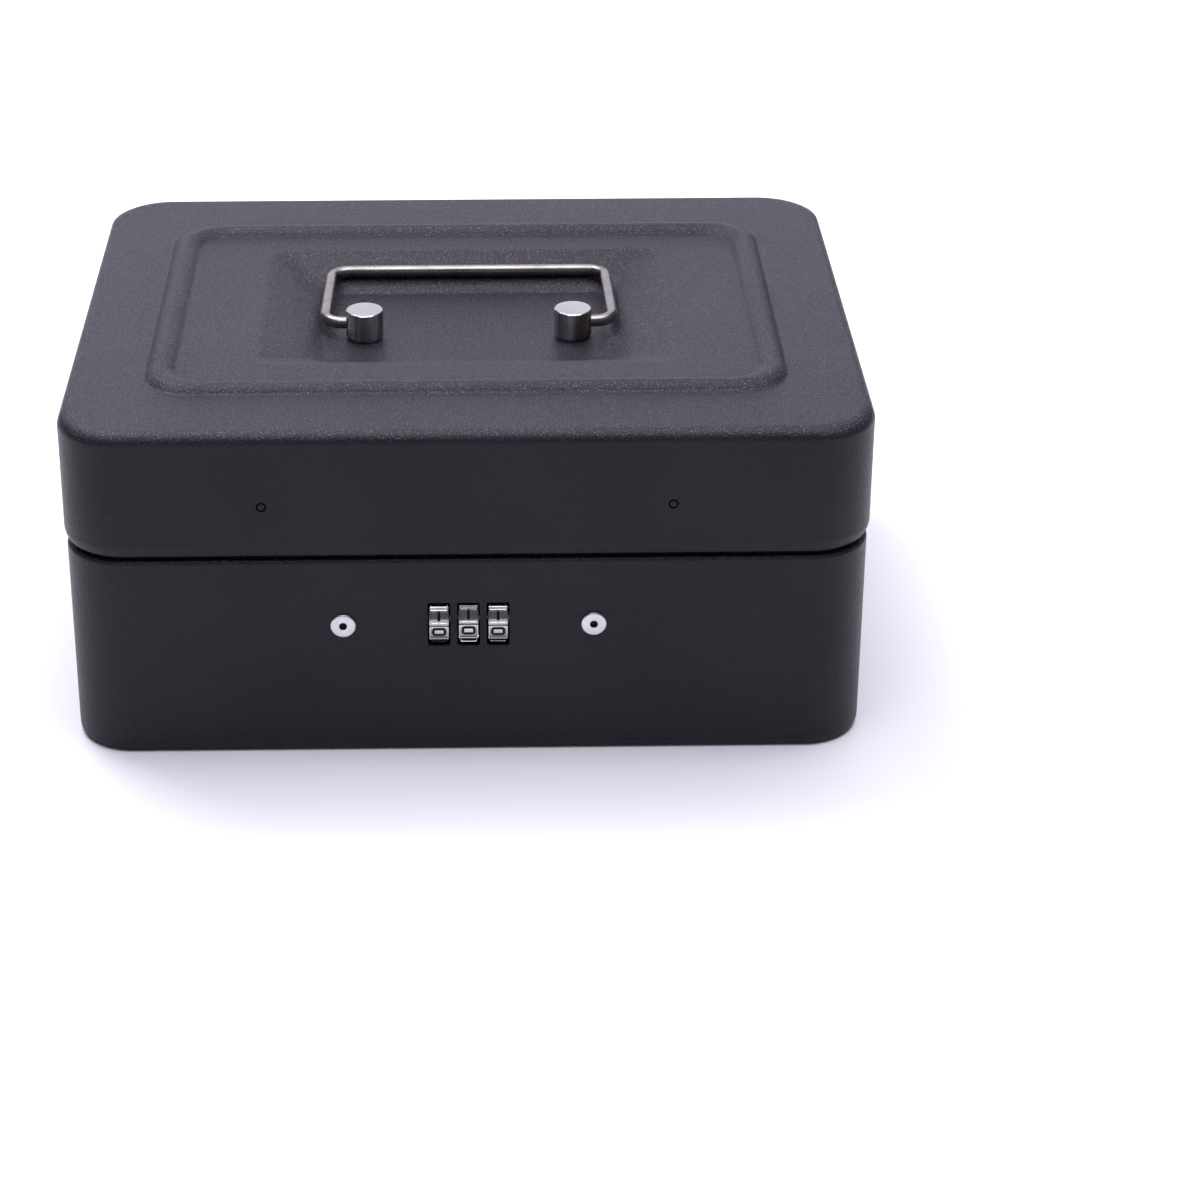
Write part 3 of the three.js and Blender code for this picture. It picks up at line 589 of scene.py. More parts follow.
def lid_body():
    """The pressed lid: its outer and inner faces, with holes for posts and rivets."""
    outer = lid_section()
    inner = offset_section(outer, SHEET)
    inner[0].y = LID_EDGE
    rings = [lid_ring(point) for point in reversed(inner)] + [lid_ring(point) for point in outer]
    piece = new_object("lid_body", loft(rings), POWDER, 50)
    holes = []
    for name in SIDES:
        where = on_wall(f"catch_rivet_{name}", -LID_HALF.y)
        holes.append(hole_cutter(where, TO_FRONT, CATCH_HOLE, WALL_CUT))
        post = middle(f"handle_post_{name}")
        holes.append(hole_cutter(Vector((post.x, post.y, DISH_FLOOR)), UPRIGHT, POST_HOLE, LONG_CUT))
    for name in HINGE_ROW:
        where = on_wall(f"lid_hinge_rivet_{name}", LID_HALF.y)
        holes.append(hole_cutter(where, TO_REAR, HINGE_HOLE, WALL_CUT))
    boolean(piece, "DIFFERENCE", *holes, sharp=50)
    return piece


def hole_cutter(where, turn, radius, length):
    """A cylinder about where, along Z before it is turned."""
    half = length / 2
    mesh = lathe([(0, -half), (radius, -half), (radius, half), (0, half)], 32)
    return set_mesh(mesh, turn, where)


BASE_BOTTOM_RADIUS = 2.5 * MM
BASE_RADIUS = 15 * MM
SHOULDER_TOP = 54.0 * MM
NECK_INSET = 2.3 * MM
SLOT_HALF = Vector((2.8, 6)) * MM
SLOT_RADIUS = 0.5 * MM
SLOT_STEPS = 5                        # in each of its corners


def base_section():
    """The base's outer face in section, from the floor to the rim."""
    return rounded_section([
        (6 * MM, 0, 0),
        (0, 0, BASE_BOTTOM_RADIUS),
        (0, SHOULDER_TOP, 2.2 * MM),
        (NECK_INSET, SHOULDER_TOP, 0.7 * MM),
        (NECK_INSET, NECK_TOP, 0),
    ], 6)


def base_ring(point):
    """The base's outline at a section point."""
    inset = point.x
    radius = max(BASE_RADIUS - inset, 2 * MM)
    return ring(BASE_HALF.x - inset, BASE_HALF.y - inset, radius, point.y)


def slot_cutter(centre):
    """A rounded slot through the front wall, widening a little at its mouth."""
    rings = []
    front = -BASE_HALF.y
    for depth, grow in ((2.0, 0.0), (0.1, 0.0), (-0.05, 0.05), (-1.0, 0.1)):
        radius = SLOT_RADIUS + grow * MM
        points = []
        for corner in range(4):
            sign_x = 1 if corner in (0, 3) else -1
            sign_z = 1 if corner < 2 else -1
            for step in range(SLOT_STEPS + 1):
                angle = (corner + step / SLOT_STEPS) * math.pi / 2
                points.append(Vector((
                    centre.x + sign_x * (SLOT_HALF.x - SLOT_RADIUS) + radius * math.cos(angle),
                    front + depth * MM,
                    centre.z + sign_z * (SLOT_HALF.y - SLOT_RADIUS) + radius * math.sin(angle),
                )))
        rings.append(points)
    return loft(rings)


def base_body():
    """The folded base: its outer and inner faces, with dial slots and rivet holes."""
    outer = base_section()
    inner = offset_section(outer, SHEET)
    inner[-1].y = NECK_TOP
    rings = [base_ring(point) for point in outer] + [base_ring(point) for point in reversed(inner)]
    piece = new_object("base_body", loft(rings), POWDER, 50)
    cutters = [slot_cutter(centre) for centre in DIAL_CENTRES]
    for name in SIDES:
        where = on_wall(f"lock_rivet_{name}", -BASE_HALF.y)
        cutters.append(hole_cutter(where, TO_FRONT, LOCK_HOLE, WALL_CUT))
    for name in HINGE_ROW:
        where = on_wall(f"base_hinge_rivet_{name}", BASE_HALF.y)
        cutters.append(hole_cutter(where, TO_REAR, HINGE_HOLE, WALL_CUT))
    boolean(piece, "DIFFERENCE", *cutters, sharp=50)
    return piece


def build_shells():
    for body, piece in (("base", base_body()), ("lid", lid_body())):
        flats = piece.modifiers.new("flats", "WEIGHTED_NORMAL")
        flats.keep_sharp = True
        place(piece, body, "black_powder_coat", f"{body}_shell")


# ---------------------------------------------------------------- rivets and screws

HINGE_HEAD_FACE = 1.1 * MM            # under a hinge rivet's head, out from the shell
Screw = namedtuple("Screw", "head_radius head_height shank_radius length recess")
POST_SCREW = Screw(2.9, 1.9, 1.3, 5.9, 1.5)         # in millimetres; recess is half its length
COVER_SCREW = Screw(2.4, 1.4, 0.9, 7, 1.4)


def blind_rivet():
    """A flat-headed blind rivet with a round hole, its head above 0."""
    return turned([
        (0.0, -3.3, 0), (2.5, -3.2, 0.3), (2.6, -2.3, 0.3), (1.9, -2.2, 0.1), (1.9, 0.1, 0),
        (3.1, 0.1, 0.05), (3.12, 0.5, 0.18), (2.85, 0.66, 0.3), (1.3, 0.76, 0.5), (0.98, 0.72, 0.1),
        (0.85, -0.1, 0), (0.85, -2.0, 0), (0.0, -2.0, 0),
    ], 64)


def mandrel():
    """The broken end of the rivet's mandrel, down in its hole."""
    return turned([(0, -1.2, 0), (0.72, -1.2, 0.1), (0.72, 0.15, 0.1), (0.3, 0.3, 0.1), (0, 0.12, 0)], 28)


def domed_rivet():
    """A painted hinge rivet, its head above 0."""
    return turned([
        (0, -3.2, 0), (1.8, -3.2, 0.3), (1.8, -2.4, 0.1), (1.2, -2.3, 0), (1.2, 0.1, 0),
        (2.3, 0.12, 0.1), (2.25, 0.5, 0.3), (1.3, 1.1, 1.2), (0, 1.15, 0),
    ], 40)


def flush_rivet():
    """A rivet ground flush, its head a little smaller than the hole in the lid."""
    return turned([
        (0, -2.9, 0), (1.8, -2.9, 0.2), (1.8, -2.2, 0.1), (0.88, -2.2, 0), (0.88, -0.5, 0),
        (0.88, -0.08, 0.1), (0.6, 0.0, 0.3), (0, 0.0, 0),
    ], 40)


def pan_screw(size):
    """A screw with a domed head, its head above 0."""
    head, height, shank, length, _ = size
    return turned([
        (0, -length, 0), (shank * 0.7, -length, 0.1), (shank, -length + 0.6, 0.1),
        (shank, 0, 0), (head, 0, 0.15), (head, height * 0.5, 0.5), (head * 0.6, height, 0.8),
        (0, height, 0),
    ], 40)


def cross_screw(name, size, turn, where):
    """A zinc-plated screw with a cross cut into its head."""
    piece = new_object(name, set_mesh(pan_screw(size), turn, where), ZINC, 45)
    half = Vector((size.recess, 0.35, 0.8)) * MM
    for angle in (20, 110):
        mesh = block_mesh(-half, half, 0.05 * MM)
        mesh.transform(Matrix.Rotation(math.radians(angle), 4, "Z"))
        mesh.transform(Matrix.Translation((0, 0, size.head_height * MM)))
        boolean(piece, "DIFFERENCE", set_mesh(mesh, turn, where), sharp=45)
    return piece


def build_rivets():
    for name in SIDES:
        where = on_wall(f"lock_rivet_{name}", -BASE_HALF.y)
        head = new_object(f"lock_rivet_{name}_head", set_mesh(blind_rivet(), TO_FRONT, where), RIVET, 60)
        place(head, "base", "rivet_aluminium", f"lock_rivet_{name}")
        # Painted shade: the mandrel gets the near-black fill, not steel, so the rivet's hole reads dark.
        stub = new_object(f"lock_rivet_{name}_mandrel", set_mesh(mandrel(), TO_FRONT, where), INK_AND_HOLE_SHADE)
        place(stub, "base", "zinc_steel")

        where = on_wall(f"catch_rivet_{name}", -LID_HALF.y)
        flush = new_object(f"catch_rivet_{name}_head", set_mesh(flush_rivet(), TO_FRONT, where), POWDER)
        place(flush, "lid", "black_powder_coat", f"catch_rivet_{name}")
    for body, half in (("base", BASE_HALF.y), ("lid", LID_HALF.y)):
        for name in HINGE_ROW:
            node = f"{body}_hinge_rivet_{name}"
            mesh = set_mesh(domed_rivet(), TO_REAR, on_wall(node, half + HINGE_HEAD_FACE))
            piece = new_object(f"{node}_head", mesh, POWDER, 50)
            place(piece, body, "black_powder_coat", node)


# ---------------------------------------------------------------- handle

HANDLE_BEND = 5 * MM
HANDLE_SPLAY = 0.8 * MM
STUB_DEPTH = 2.2 * MM                 # of the wire's end, into its post
BORE_GAP = 0.15 * MM                  # round the wire
BORE_CUT = 5.2 * MM
CAP_DEPTH = 0.5 * MM                  # of a post's polished top, at its edge
WASHER_BORE = 1.7 * MM
WASHER_RADIUS = 3.5 * MM
WASHER_HEIGHT = 0.7 * MM
SCREW_GAP = 0.1 * MM                  # of a post's screw, below its washer


def post_mesh(name):
    """A turned post with a narrower foot, a flat top and a screw bore from below."""
    low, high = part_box(f"handle_post_{name}")
    height = (high.z - low.z) / MM
    radius = (high.x - low.x) / 2 / MM
    foot = radius - 0.3
    mesh = turned([
        (0, 4.5, 0), (1.5, 4.5, 0), (1.5, 0, 0), (foot - 0.05, 0, 0.2), (foot, 0.45, 0.1),
        (radius, 0.8, 0.3), (radius, height - 0.3, 0.25), (radius - 0.3, height, 0.2), (0, height, 0),
    ], 96, 4)
    centre = middle(f"handle_post_{name}")
    return set_mesh(mesh, UPRIGHT, Vector((centre.x, centre.y, low.z)))


def build_posts():
    low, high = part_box("handle_bail")
    bore = (high.z - low.z) / 2 + BORE_GAP
    for name in SIDES:
        post = new_object(f"handle_post_{name}_turned", post_mesh(name), NICKEL, 40)
        post_low, post_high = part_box(f"handle_post_{name}")
        face = post_high.x if name == "right" else post_low.x
        where = Vector((face, HANDLE_PIVOT.y, HANDLE_PIVOT.z))
        boolean(post, "DIFFERENCE", hole_cutter(where, ALONG_X, bore, BORE_CUT), sharp=40)
        post.data.materials.append(POST_TOP)
        for polygon in post.data.polygons:
            if polygon.normal.z > 0.6 and polygon.center.z > post_high.z - CAP_DEPTH:
                polygon.material_index = 1
        place(post, "lid", "dark_chrome", f"handle_post_{name}")
        build_post_fixing(name)


def build_handle():
    """The bent wire: a straight grip, two legs that splay a little and two short ends."""
    low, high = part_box("handle_bail")
    radius = (high.z - low.z) / 2
    foot_left = low.x + radius
    foot_right = high.x - radius
    grip_left = foot_left + HANDLE_SPLAY
    grip_right = foot_right - HANDLE_SPLAY
    rear = high.y - radius
    pivot = HANDLE_PIVOT
    end_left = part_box("handle_post_left")[0].x + STUB_DEPTH
    end_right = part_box("handle_post_right")[1].x - STUB_DEPTH
    corners = [
        Vector((end_right, pivot.y, pivot.z)), Vector((foot_right, pivot.y, pivot.z)),
        Vector((grip_right, rear, pivot.z)), Vector((grip_left, rear, pivot.z)),
        Vector((foot_left, pivot.y, pivot.z)), Vector((end_left, pivot.y, pivot.z)),
    ]
    route = rounded_route(corners, HANDLE_BEND)
    bail = new_object("bail_wire", sweep(route, radius, 32), WIRE, 60)
    place(bail, "handle", "bright_steel", "handle_bail")


def build_post_fixing(name):
    """The screw and washer that hold a post, inside the lid."""
    washer_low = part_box(f"post_washer_{name}")[0]
    centre = middle(f"handle_post_{name}")
    mesh = lathe([
        (WASHER_BORE, 0), (WASHER_RADIUS, 0), (WASHER_RADIUS, WASHER_HEIGHT), (WASHER_BORE, WASHER_HEIGHT),
    ], 40, close=True)
    set_mesh(mesh, UPRIGHT, Vector((centre.x, centre.y, washer_low.z)))
    washer = new_object(f"post_washer_{name}_ring", mesh, ZINC)
    place(washer, "lid", "zinc_steel", f"post_washer_{name}")
    where = Vector((centre.x, centre.y, washer_low.z - SCREW_GAP))
    fixing = cross_screw(f"post_screw_{name}_cross", POST_SCREW, UPSIDE_DOWN, where)
    place(fixing, "lid", "zinc_steel", f"post_screw_{name}")


# ---------------------------------------------------------------- dials

FACETS = 10
FACET_STEP = 2 * math.pi / FACETS
DIAL_RADIUS = 6.56 * MM
DIAL_HALF_WIDTH = 2.5 * MM
DIAL_BORE = 2.5 * MM
PANEL_DROP = 0.22 * MM                # a panel's face, below the rims round it
ZERO_TILT = (-12, -8, -11)            # of each wheel's zero facet, in degrees above the front
STROKES = (                           # of figures 0 to 9: chains of (across, up) points
    [((0, -1), (1, -1), (1, 1), (-1, 1), (-1, -1), (0, -1))],
    [((0, -1), (0, 0), (0, 1.35))],
    [((-1, 1), (1, 1), (1, 0), (-1, 0), (-1, -1), (1, -1))],
    [((-1, 1), (1, 1), (1, -1), (-1, -1)), ((-0.6, 0), (0.8, 0))],
    [((-1, 1), (-1, 0), (1, 0)), ((0.6, 1), (0.6, -1))],
    [((1, 1), (-1, 1), (-1, 0), (1, 0), (1, -1), (-1, -1))],
    [((1, 1), (-1, 1), (-1, -1), (1, -1), (1, 0), (-0.8, 0))],
    [((-1, 1), (1, 1), (1, 0), (1, -1))],
    [((0, -1), (1, -1), (1, 1), (-1, 1), (-1, -1), (0, -1)), ((-0.8, 0), (0.8, 0))],
    [((0.8, 0), (-1, 0), (-1, 1), (1, 1), (1, -1), (-1, -1))],
)
FIGURE_HALF = Vector((1.42, 0.93)) * MM
FIGURE_CORNER = 0.4 * MM
STROKE = 0.68 * MM
STROKE_HEIGHT = 0.05 * MM


def wheel_stations():
    """(angle, drop, panel) round one facet: a sunk panel, raised rims and a groove at each end."""
    half = [
        (0.0, PANEL_DROP, True), (0.35, PANEL_DROP, True), (0.69, PANEL_DROP, True),
        (0.74, 0.0, False), (0.80, 0.0, False), (0.85, 0.07 * MM, False),
        (0.89, 0.45 * MM, False), (0.96, 0.5 * MM, False),
    ]
    stations = [(-share, drop, panel) for share, drop, panel in reversed(half[1:])] + half
    return [(share * FACET_STEP / 2, drop, panel) for share, drop, panel in stations]


def facet_point(across, out, turn):
    """A point that is out from the wheel's axis, turned up from the front by an angle."""
    return Vector((across, -out * math.cos(turn), out * math.sin(turn)))


def wheel_mesh():
    """A chrome number wheel about X: raised rims round ten sunk panels, with grooves between."""
    columns = (
        (-1.0, 0.45 * MM, False), (-0.94, 0.14 * MM, False), (-0.86, 0.01 * MM, False),
        (-0.8, 0.0, False), (-0.74, 0.0, True), (0.74, 0.0, True), (0.8, 0.0, False),
        (0.86, 0.01 * MM, False), (0.94, 0.14 * MM, False), (1.0, 0.45 * MM, False),
    )
    turns = []
    for facet in range(FACETS):
        turns += [(facet * FACET_STEP + angle, drop, panel) for angle, drop, panel in wheel_stations()]
    rows = []
    for across, drop, inner in columns:
        radii = [
            DIAL_RADIUS - drop - (0.0 if panel and not inner else sink)
            for _, sink, panel in turns
        ]
        rows.append((across, radii))
    for across in (1.0, -1.0):
        rows.append((across, [DIAL_BORE] * len(turns)))
    vertices = []
    for across, radii in rows:
        for radius, (turn, _, _) in zip(radii, turns):
            vertices.append(facet_point(across * DIAL_HALF_WIDTH, radius, turn))
    count = len(turns)
    faces = []
    for row in range(len(rows)):
        low = row * count
        high = (row + 1) % len(rows) * count
        for i in range(count):
            j = (i + 1) % count
            faces.append((low + i, high + i, high + j, low + j))
    return mesh_from(vertices, faces)


def stroke_mesh(chain, radius, turn):
    """One stroke of a figure: a flat bar that follows its panel, with rounded corners."""
    corners = [(x * FIGURE_HALF.x, y * FIGURE_HALF.y, FIGURE_CORNER) for x, y in chain]
    points = rounded_section(corners, 3)
    vertices = []
    for index, here in enumerate(points):
        before = points[max(index - 1, 0)]
        after = points[min(index + 1, len(points) - 1)]
        along = (after - before).normalized()
        side = Vector((-along.y, along.x)) * STROKE / 2
        for flat in (here + side, here - side):
            for height in (-STROKE_HEIGHT, STROKE_HEIGHT):
                vertices.append(facet_point(flat.x, radius + height, turn + flat.y / radius))
    faces = []
    for index in range(len(points) - 1):
        a = index * 4
        b = a + 4
        faces += [
            (a + 1, a + 3, b + 3, b + 1), (a, b, b + 2, a + 2),
            (a, a + 1, b + 1, b), (a + 2, b + 2, b + 3, a + 3),
        ]
    end = len(vertices) - 4
    faces += [(0, 2, 3, 1), (end, end + 1, end + 3, end + 2)]
    return mesh_from(vertices, faces)


def build_dials():
    for dial, (centre, zero_tilt) in enumerate(zip(DIAL_CENTRES, ZERO_TILT), 1):
        tilt = math.radians(zero_tilt)
        mesh = set_mesh(wheel_mesh(), Matrix.Rotation(-tilt, 4, "X"), centre)
        wheel = new_object(f"number_wheel_{dial}", mesh, CHROME, 30)
        place(wheel, f"dial_{dial}", "dial_chrome", f"dial_wheel_{dial}")
        figures = []
        for number in range(FACETS):
            turn = tilt + number * FACET_STEP
            for chain in STROKES[number]:
                figures.append(stroke_mesh(chain, DIAL_RADIUS - PANEL_DROP, turn))
        piece = new_object(f"figures_{dial}", set_mesh(join(*figures), UPRIGHT, centre), INK_AND_HOLE_SHADE)
        place(piece, f"dial_{dial}", "dial_chrome")


# ---------------------------------------------------------------- coin tray

TRAY_RIM = 1.6 * MM                   # overhang of the rim, all round
TRAY_RIM_HEIGHT = 2 * MM
TRAY_WALL = 1.6 * MM
TRAY_RADIUS = 15.6 * MM
TRAY_BOTTOM = 22 * MM
TRAY_FLOOR = 1.5 * MM
COIN_CUPS = 4
CUP_DEPTH = 78 * MM                   # from the tray's front wall to the rear of the coin cups
FOOT_HALF = 5.5 * MM
FOOT_INSET = 4 * MM
FOOT_RADIUS = 1.5 * MM


def lofted_block(half, section, radius, centre):
    """A rounded block from (inset, height) points; half is its half width and half depth."""
    rings = [ring(half.x - p.x, half.y - p.x, max(radius - p.x, 0.5 * MM), p.y) for p in section]
    mesh = loft(rings)
    mesh.transform(Matrix.Translation((centre.x, centre.y, 0)))
    return mesh


def tray_body(half, centre, top):
    """The tray's outside: a drafted bucket under an overhanging rim."""
    section = rounded_section([
        (TRAY_RIM + 6 * MM, TRAY_BOTTOM, 0),
        (TRAY_RIM + 0.6 * MM, TRAY_BOTTOM, 3 * MM),
        (TRAY_RIM, top - TRAY_RIM_HEIGHT, 0.5 * MM),
        (0, top - TRAY_RIM_HEIGHT, 0.4 * MM),
        (0, top, 0.7 * MM),
        (2 * MM, top, 0),
    ])
    return lofted_block(half, section, TRAY_RADIUS, centre)


def cup_mesh(low, high, top):
    """The space inside a cup: a round-edged floor, slightly drafted walls and a flared mouth."""
    section = rounded_section([
        (7 * MM, TRAY_BOTTOM + TRAY_FLOOR, 0),
        (0.5 * MM, TRAY_BOTTOM + TRAY_FLOOR, 6 * MM),
        (0, top - 0.8 * MM, 0.5 * MM),
        (-0.35 * MM, top, 0.1 * MM),
        (-0.4 * MM, top + 1 * MM, 0),
    ], 5)
    radius = TRAY_RADIUS - TRAY_RIM - TRAY_WALL
    return lofted_block((high - low) / 2, section, radius, (low + high) / 2)


def build_tray():
    """The moulded tray: a rounded rim, four coin cups, a long cup behind them and four feet."""
    low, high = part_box("coin_tray")
    half = Vector((high.x - low.x, high.y - low.y)) / 2
    centre = (low + high) / 2
    piece = new_object("coin_tray_moulding", tray_body(half, centre, high.z), PLASTIC)
    inner_x = half.x - TRAY_RIM - TRAY_WALL
    front = low.y + TRAY_RIM + TRAY_WALL
    split = low.y + TRAY_RIM + CUP_DEPTH
    pitch = (2 * inner_x + TRAY_WALL) / COIN_CUPS
    cups = []
    for column in range(COIN_CUPS):
        left = -inner_x + column * pitch
        cups.append(cup_mesh(Vector((left, front)), Vector((left + pitch - TRAY_WALL, split)), high.z))
    rear = Vector((inner_x, high.y - TRAY_RIM - TRAY_WALL))
    cups.append(cup_mesh(Vector((-inner_x, split + TRAY_WALL)), rear, high.z))
    boolean(piece, "DIFFERENCE", *cups)
    feet = []
    reach = TRAY_RIM + FOOT_INSET + FOOT_HALF
    half = Vector((FOOT_HALF, FOOT_HALF))
    section = [Vector(p) for p in ((0.4 * MM, low.z), (0, low.z + 0.4 * MM), (0, TRAY_BOTTOM + 0.6 * MM))]
    for x in (low.x + reach, high.x - reach):
        for y in (low.y + reach, high.y - reach):
            feet.append(lofted_block(half, section, FOOT_RADIUS, Vector((x, y))))
    boolean(piece, "UNION", *feet)
    place(piece, "tray", "tray_plastic", "coin_tray")


# ---------------------------------------------------------------- hinge

KNUCKLES = 5
KNUCKLE_RADIUS = 2.3 * MM
KNUCKLE_GAP = 0.3 * MM
PIN_RADIUS = 1.2 * MM
PIN_GAP = 0.15 * MM
PIN_END = 0.5 * MM                    # of the pin, past the knuckles
LEAF = 1 * MM                         # its thickness
LEAF_END = 2 * MM                     # of the knuckles, past a leaf's ends
LEAF_RADIUS = 3 * MM
LEAF_START = 2.7 * MM                 # of a leaf's plate, from the hinge's axis
BRIDGE_OVERLAP = 1.5 * MM             # of the strips from leaf to knuckle, along the leaf
BRIDGE_SINK = 0.03 * MM               # of those strips, below the leaf's faces


def tube_x(start, end, outer, inner):
    """A tube about X through the hinge's axis, with its ends chamfered."""
    chamfer = 0.2 * MM
    mesh = lathe([
        (inner, start), (outer - chamfer, start), (outer, start + chamfer),
        (outer, end - chamfer), (outer - chamfer, end), (inner, end),
    ], 40, close=True)
    return set_mesh(mesh, ALONG_X, Vector((0, HINGE_PIVOT.y, HINGE_PIVOT.z)))


def hinge_leaf(body, first):
    """A leaf with its rolled knuckles; first is the number of its first one, from the left."""
    node = f"{body}_hinge_leaf"
    pin_low, pin_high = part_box("hinge_pin")
    low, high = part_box(node)
    half = (pin_high.x - pin_low.x) / 2 - PIN_END
    leaf_half = half - LEAF_END
    up = -1 if body == "base" else 1
    far = high.z if up > 0 else low.z
    near = HINGE_PIVOT.z + up * LEAF_START
    plate = lofted_block(
        Vector((leaf_half, abs(far - near) / 2)),
        rounded_section([(1 * MM, 0, 0), (0, 0, 0.15 * MM), (0, LEAF, 0.3 * MM), (1 * MM, LEAF, 0)], 3),
        LEAF_RADIUS,
        Vector((0, 0)),
    )
    set_mesh(plate, TO_REAR, Vector((0, low.y, (far + near) / 2)))
    piece = new_object(f"{node}_rolled", plate, POWDER)
    step = 2 * half / KNUCKLES
    parts = []
    for knuckle in range(first, KNUCKLES, 2):
        start = -half + knuckle * step + KNUCKLE_GAP / 2
        end = start + step - KNUCKLE_GAP
        parts.append(tube_x(start, end, KNUCKLE_RADIUS, PIN_RADIUS + PIN_GAP))
        bottom, top = sorted((near + up * BRIDGE_OVERLAP, HINGE_PIVOT.z))
        parts.append(block_mesh(
            Vector((max(start, -leaf_half), low.y + BRIDGE_SINK, bottom)),
            Vector((min(end, leaf_half), low.y + LEAF - BRIDGE_SINK, top)),
        ))
    for part in parts:
        boolean(piece, "UNION", part)
    places = [on_wall(f"{body}_hinge_rivet_{name}", low.y) for name in HINGE_ROW]
    holes = [hole_cutter(where, TO_REAR, LEAF_HOLE, LONG_CUT) for where in places]
    boolean(piece, "DIFFERENCE", *holes)
    place(piece, body, "black_powder_coat", node)


def build_hinge():
    hinge_leaf("base", 0)
    hinge_leaf("lid", 1)
    low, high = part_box("hinge_pin")
    length = (high.x - low.x) / MM
    radius = PIN_RADIUS / MM
    mesh = turned([(0, 0, 0), (radius, 0, 0.4), (radius, length, 0.4), (0, length, 0)], 32)
    pin = new_object("hinge_pin_rod", set_mesh(mesh, ALONG_X, Vector((low.x, *HINGE_PIVOT.yz))), ZINC)
    place(pin, "base", "zinc_steel", "hinge_pin")


# ---------------------------------------------------------------- lock works

SPINDLE_COLLAR = 12.3 * MM            # place of its collar, across the box
SPRING_TURNS = 4
SPRING_STEPS = 28                     # in each turn
SPRING_WIRE = 0.32 * MM


def build_spindle():
    """The dials' spindle with its collar, and the spring that pushes it back."""
    axis = DIAL_CENTRES[1]
    low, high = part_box("dial_spindle")
    length = (high.x - low.x) / MM
    collar = (SPINDLE_COLLAR - low.x) / MM
    mesh = turned([
        (0, 0, 0), (1.2, 0, 0.25), (1.2, collar, 0), (2.3, collar, 0.15), (2.3, collar + 0.8, 0.15),
        (1.2, collar + 0.8, 0), (1.2, length, 0.25), (0, length, 0),
    ], 40)
    rod = new_object("dial_spindle_rod", set_mesh(mesh, ALONG_X, Vector((low.x, *axis.yz))), WIRE)
    place(rod, "code_change", "bright_steel", "dial_spindle")
    low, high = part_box("spindle_spring")
    start = low.x + SPRING_WIRE
    length = high.x - low.x - 2 * SPRING_WIRE
    radius = (high.y - low.y) / 2 - SPRING_WIRE
    steps = SPRING_STEPS * SPRING_TURNS
    coil = []
    for step in range(steps + 1):
        share = step / steps
        angle = share * SPRING_TURNS * 2 * math.pi
        coil.append(Vector((
            start + share * length,
            axis.y + radius * math.cos(angle),
            axis.z + radius * math.sin(angle),
        )))
    spring = new_object("spindle_spring_coil", sweep(coil, SPRING_WIRE, 10), WIRE, 60)
    place(spring, "code_change", "bright_steel", "spindle_spring")


def build_sleeve(number, centre):
    """A coded sleeve: a tube inside the wheel and a hub beside it with one flat."""
    profile = (
        (1.35, -2.5), (2.2, -2.5), (2.2, 2.4), (1.7, 2.4), (1.7, 2.95), (3.1, 2.95),
        (3.2, 3.05), (3.2, 4.45), (3.1, 4.55), (1.35, 4.55),
    )
    mesh = lathe([(radius * MM, height * MM) for radius, height in profile], 48, close=True)
    piece = new_object(f"dial_sleeve_{number}_turned", set_mesh(mesh, ALONG_X, centre), BRASS)
    flat = block_mesh(Vector((2.6, 1.9, -4)) * MM, Vector((5, 4, 4)) * MM)
    flat.transform(Matrix.Translation(centre))
    boolean(piece, "DIFFERENCE", flat)
    place(piece, f"dial_{number}", "sleeve_brass", f"dial_sleeve_{number}")


def finish_cad(name, material, bevel=0.12 * MM):
    """Gives a folded or stamped CAD node its finish and softens its edges."""
    node = nodes[name]
    node.data.materials.clear()
    node.data.materials.append(material)
    weld = node.modifiers.new("weld", "WELD")
    weld.merge_threshold = 0.01 * MM
    soften = node.modifiers.new("soften", "BEVEL")
    soften.width = bevel
    soften.segments = 2
    soften.limit_method = "ANGLE"
    soften.angle_limit = math.radians(35)


def build_lock():
    for name in ("lock_case", "lock_cover", "catch_plate", "code_lever"):
        finish_cad(name, ZINC)
    finish_cad("detent_spring", WIRE, 0.05 * MM)
    build_spindle()
    for number, centre in enumerate(DIAL_CENTRES, 1):
        build_sleeve(number, centre)
    for name in SIDES:
        node = f"cover_screw_{name}"
        where = on_wall(node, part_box(node)[1].y - COVER_SCREW.head_height * MM)
        fixing = cross_screw(f"{node}_cross", COVER_SCREW, TO_REAR, where)
        place(fixing, "base", "zinc_steel", node)


# ---------------------------------------------------------------- camera, floor and light

FOCAL_LENGTH = 90.19                  # in millimetres, over a sensor 36 wide
LENS_SHIFT = (0.0732, -0.1124)
CAMERA_TARGET = Vector((0.0121, 0, 0.0410))
CAMERA_DISTANCE = 0.81296
CAMERA_TURN = (-0.905, 25.902, -0.097)              # yaw, pitch and roll, in degrees
FLOOR_REACH = 20                      # metres, each way
FLOOR_DROP = 0.05 * MM                # keeps the floor clear of the box's underside
WORLD_COLOUR = (0.94, 0.93, 1, 1)
WORLD_STRENGTH = 0.13
LIGHTS = (                            # name, place, target, size, watts and colour
    ("overhead", (-0.42, 0.44, 1.05), (0, 0, 0.09), (0.5, 0.4), 6, (1, 0.98, 1.08)),
    ("ceiling", (0.1, 0.35, 1.4), (0.1, 0.35, 0), (1.6, 0.9), 15, (1, 0.98, 1.06)),
    ("rear", (-0.1, 1.5, 0.85), (0, 0, 0.09), (2.0, 1.6), 11.5, (1, 0.96, 1.16)),
    ("key", (0.1, -0.35, 1.6), (0, 0, 0.05), (1.6, 0.8), 15.5, (0.98, 0.97, 1.13)),
    ("front", (0, -1.5, 0.12), (0, 0, 0.02), (2.2, 0.3), 1.25, (1, 1, 1)),
)


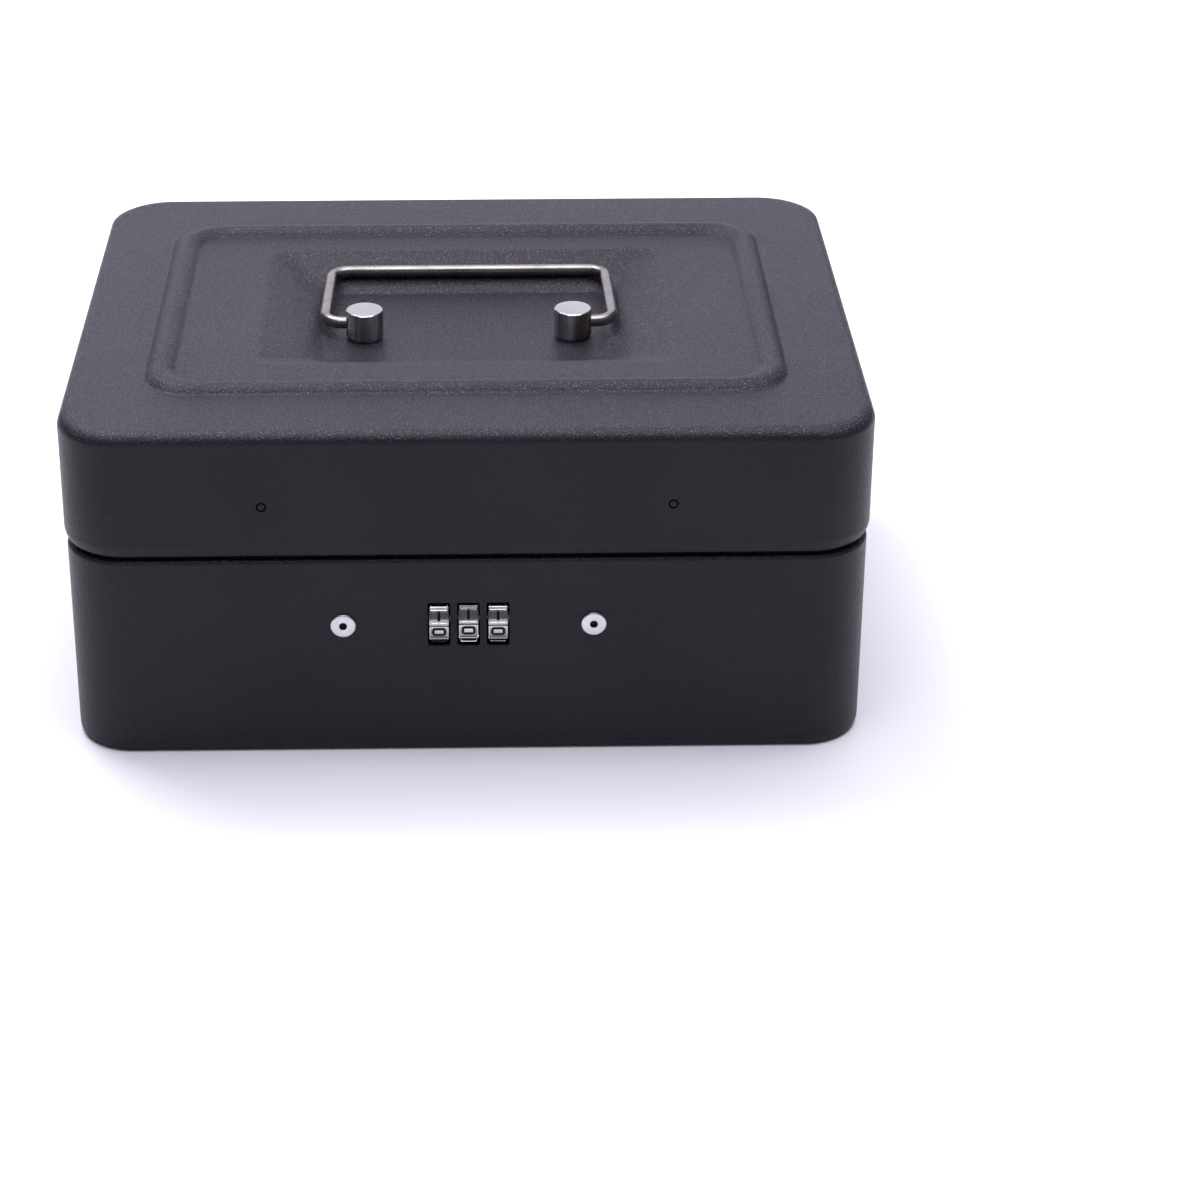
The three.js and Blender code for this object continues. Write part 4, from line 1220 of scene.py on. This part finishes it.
def build_camera():
    """The camera stands 0.81 m off, in front of the box, and looks down at 26 degrees."""
    data = bpy.data.cameras.new("camera")
    data.sensor_width = 36
    data.lens = FOCAL_LENGTH
    data.shift_x, data.shift_y = LENS_SHIFT
    data.clip_end = 50
    yaw, pitch, roll = (math.radians(v) for v in CAMERA_TURN)
    back = Vector((
        math.sin(yaw) * math.cos(pitch),
        -math.cos(yaw) * math.cos(pitch),
        math.sin(pitch),
    ))
    camera = bpy.data.objects.new("camera", data)
    bpy.context.scene.collection.objects.link(camera)
    camera.location = CAMERA_TARGET + back * CAMERA_DISTANCE
    camera.rotation_mode = "QUATERNION"
    level = (-back).to_track_quat("-Z", "Y")
    camera.rotation_quaternion = level @ Quaternion((0, 0, 1), roll)
    bpy.context.scene.camera = camera


def area_light(name, where, target, size, power, colour):
    """A rectangular light that faces its target and isn't seen itself."""
    data = bpy.data.lights.new(name, "AREA")
    data.shape = "RECTANGLE"
    data.size, data.size_y = size
    data.energy = power
    data.color = colour
    light = bpy.data.objects.new(name, data)
    bpy.context.scene.collection.objects.link(light)
    light.location = where
    light.rotation_mode = "QUATERNION"
    light.rotation_quaternion = (Vector(target) - Vector(where)).to_track_quat("-Z", "Y")
    light.visible_camera = False


def build_floor():
    signs = ((-1, -1), (1, -1), (1, 1), (-1, 1))
    corners = [(x * FLOOR_REACH, y * FLOOR_REACH, -FLOOR_DROP) for x, y in signs]
    mesh = mesh_from(corners, [(0, 1, 2, 3)])
    m = Nodes("pale_floor")
    tone = m.ramp(m.noise(3, 2), [(0.3, (0.92, 0.92, 0.925)), (0.7, (0.94, 0.94, 0.945))])
    m.set(base_color=tone, roughness=0.7, specular_ior_level=0.2)
    floor = new_object("floor", mesh, m.material)


def build_light():
    world = bpy.data.worlds.new("studio")
    bpy.context.scene.world = world
    world.use_nodes = True
    background = world.node_tree.nodes["Background"]
    background.inputs["Color"].default_value = WORLD_COLOUR
    background.inputs["Strength"].default_value = WORLD_STRENGTH
    for light in LIGHTS:
        area_light(*light)
    bpy.context.scene.view_settings.view_transform = "Standard"


build_camera()
build_floor()
build_light()
build_shells()
build_rivets()
build_posts()
build_handle()
build_dials()
build_tray()
build_hinge()
build_lock()
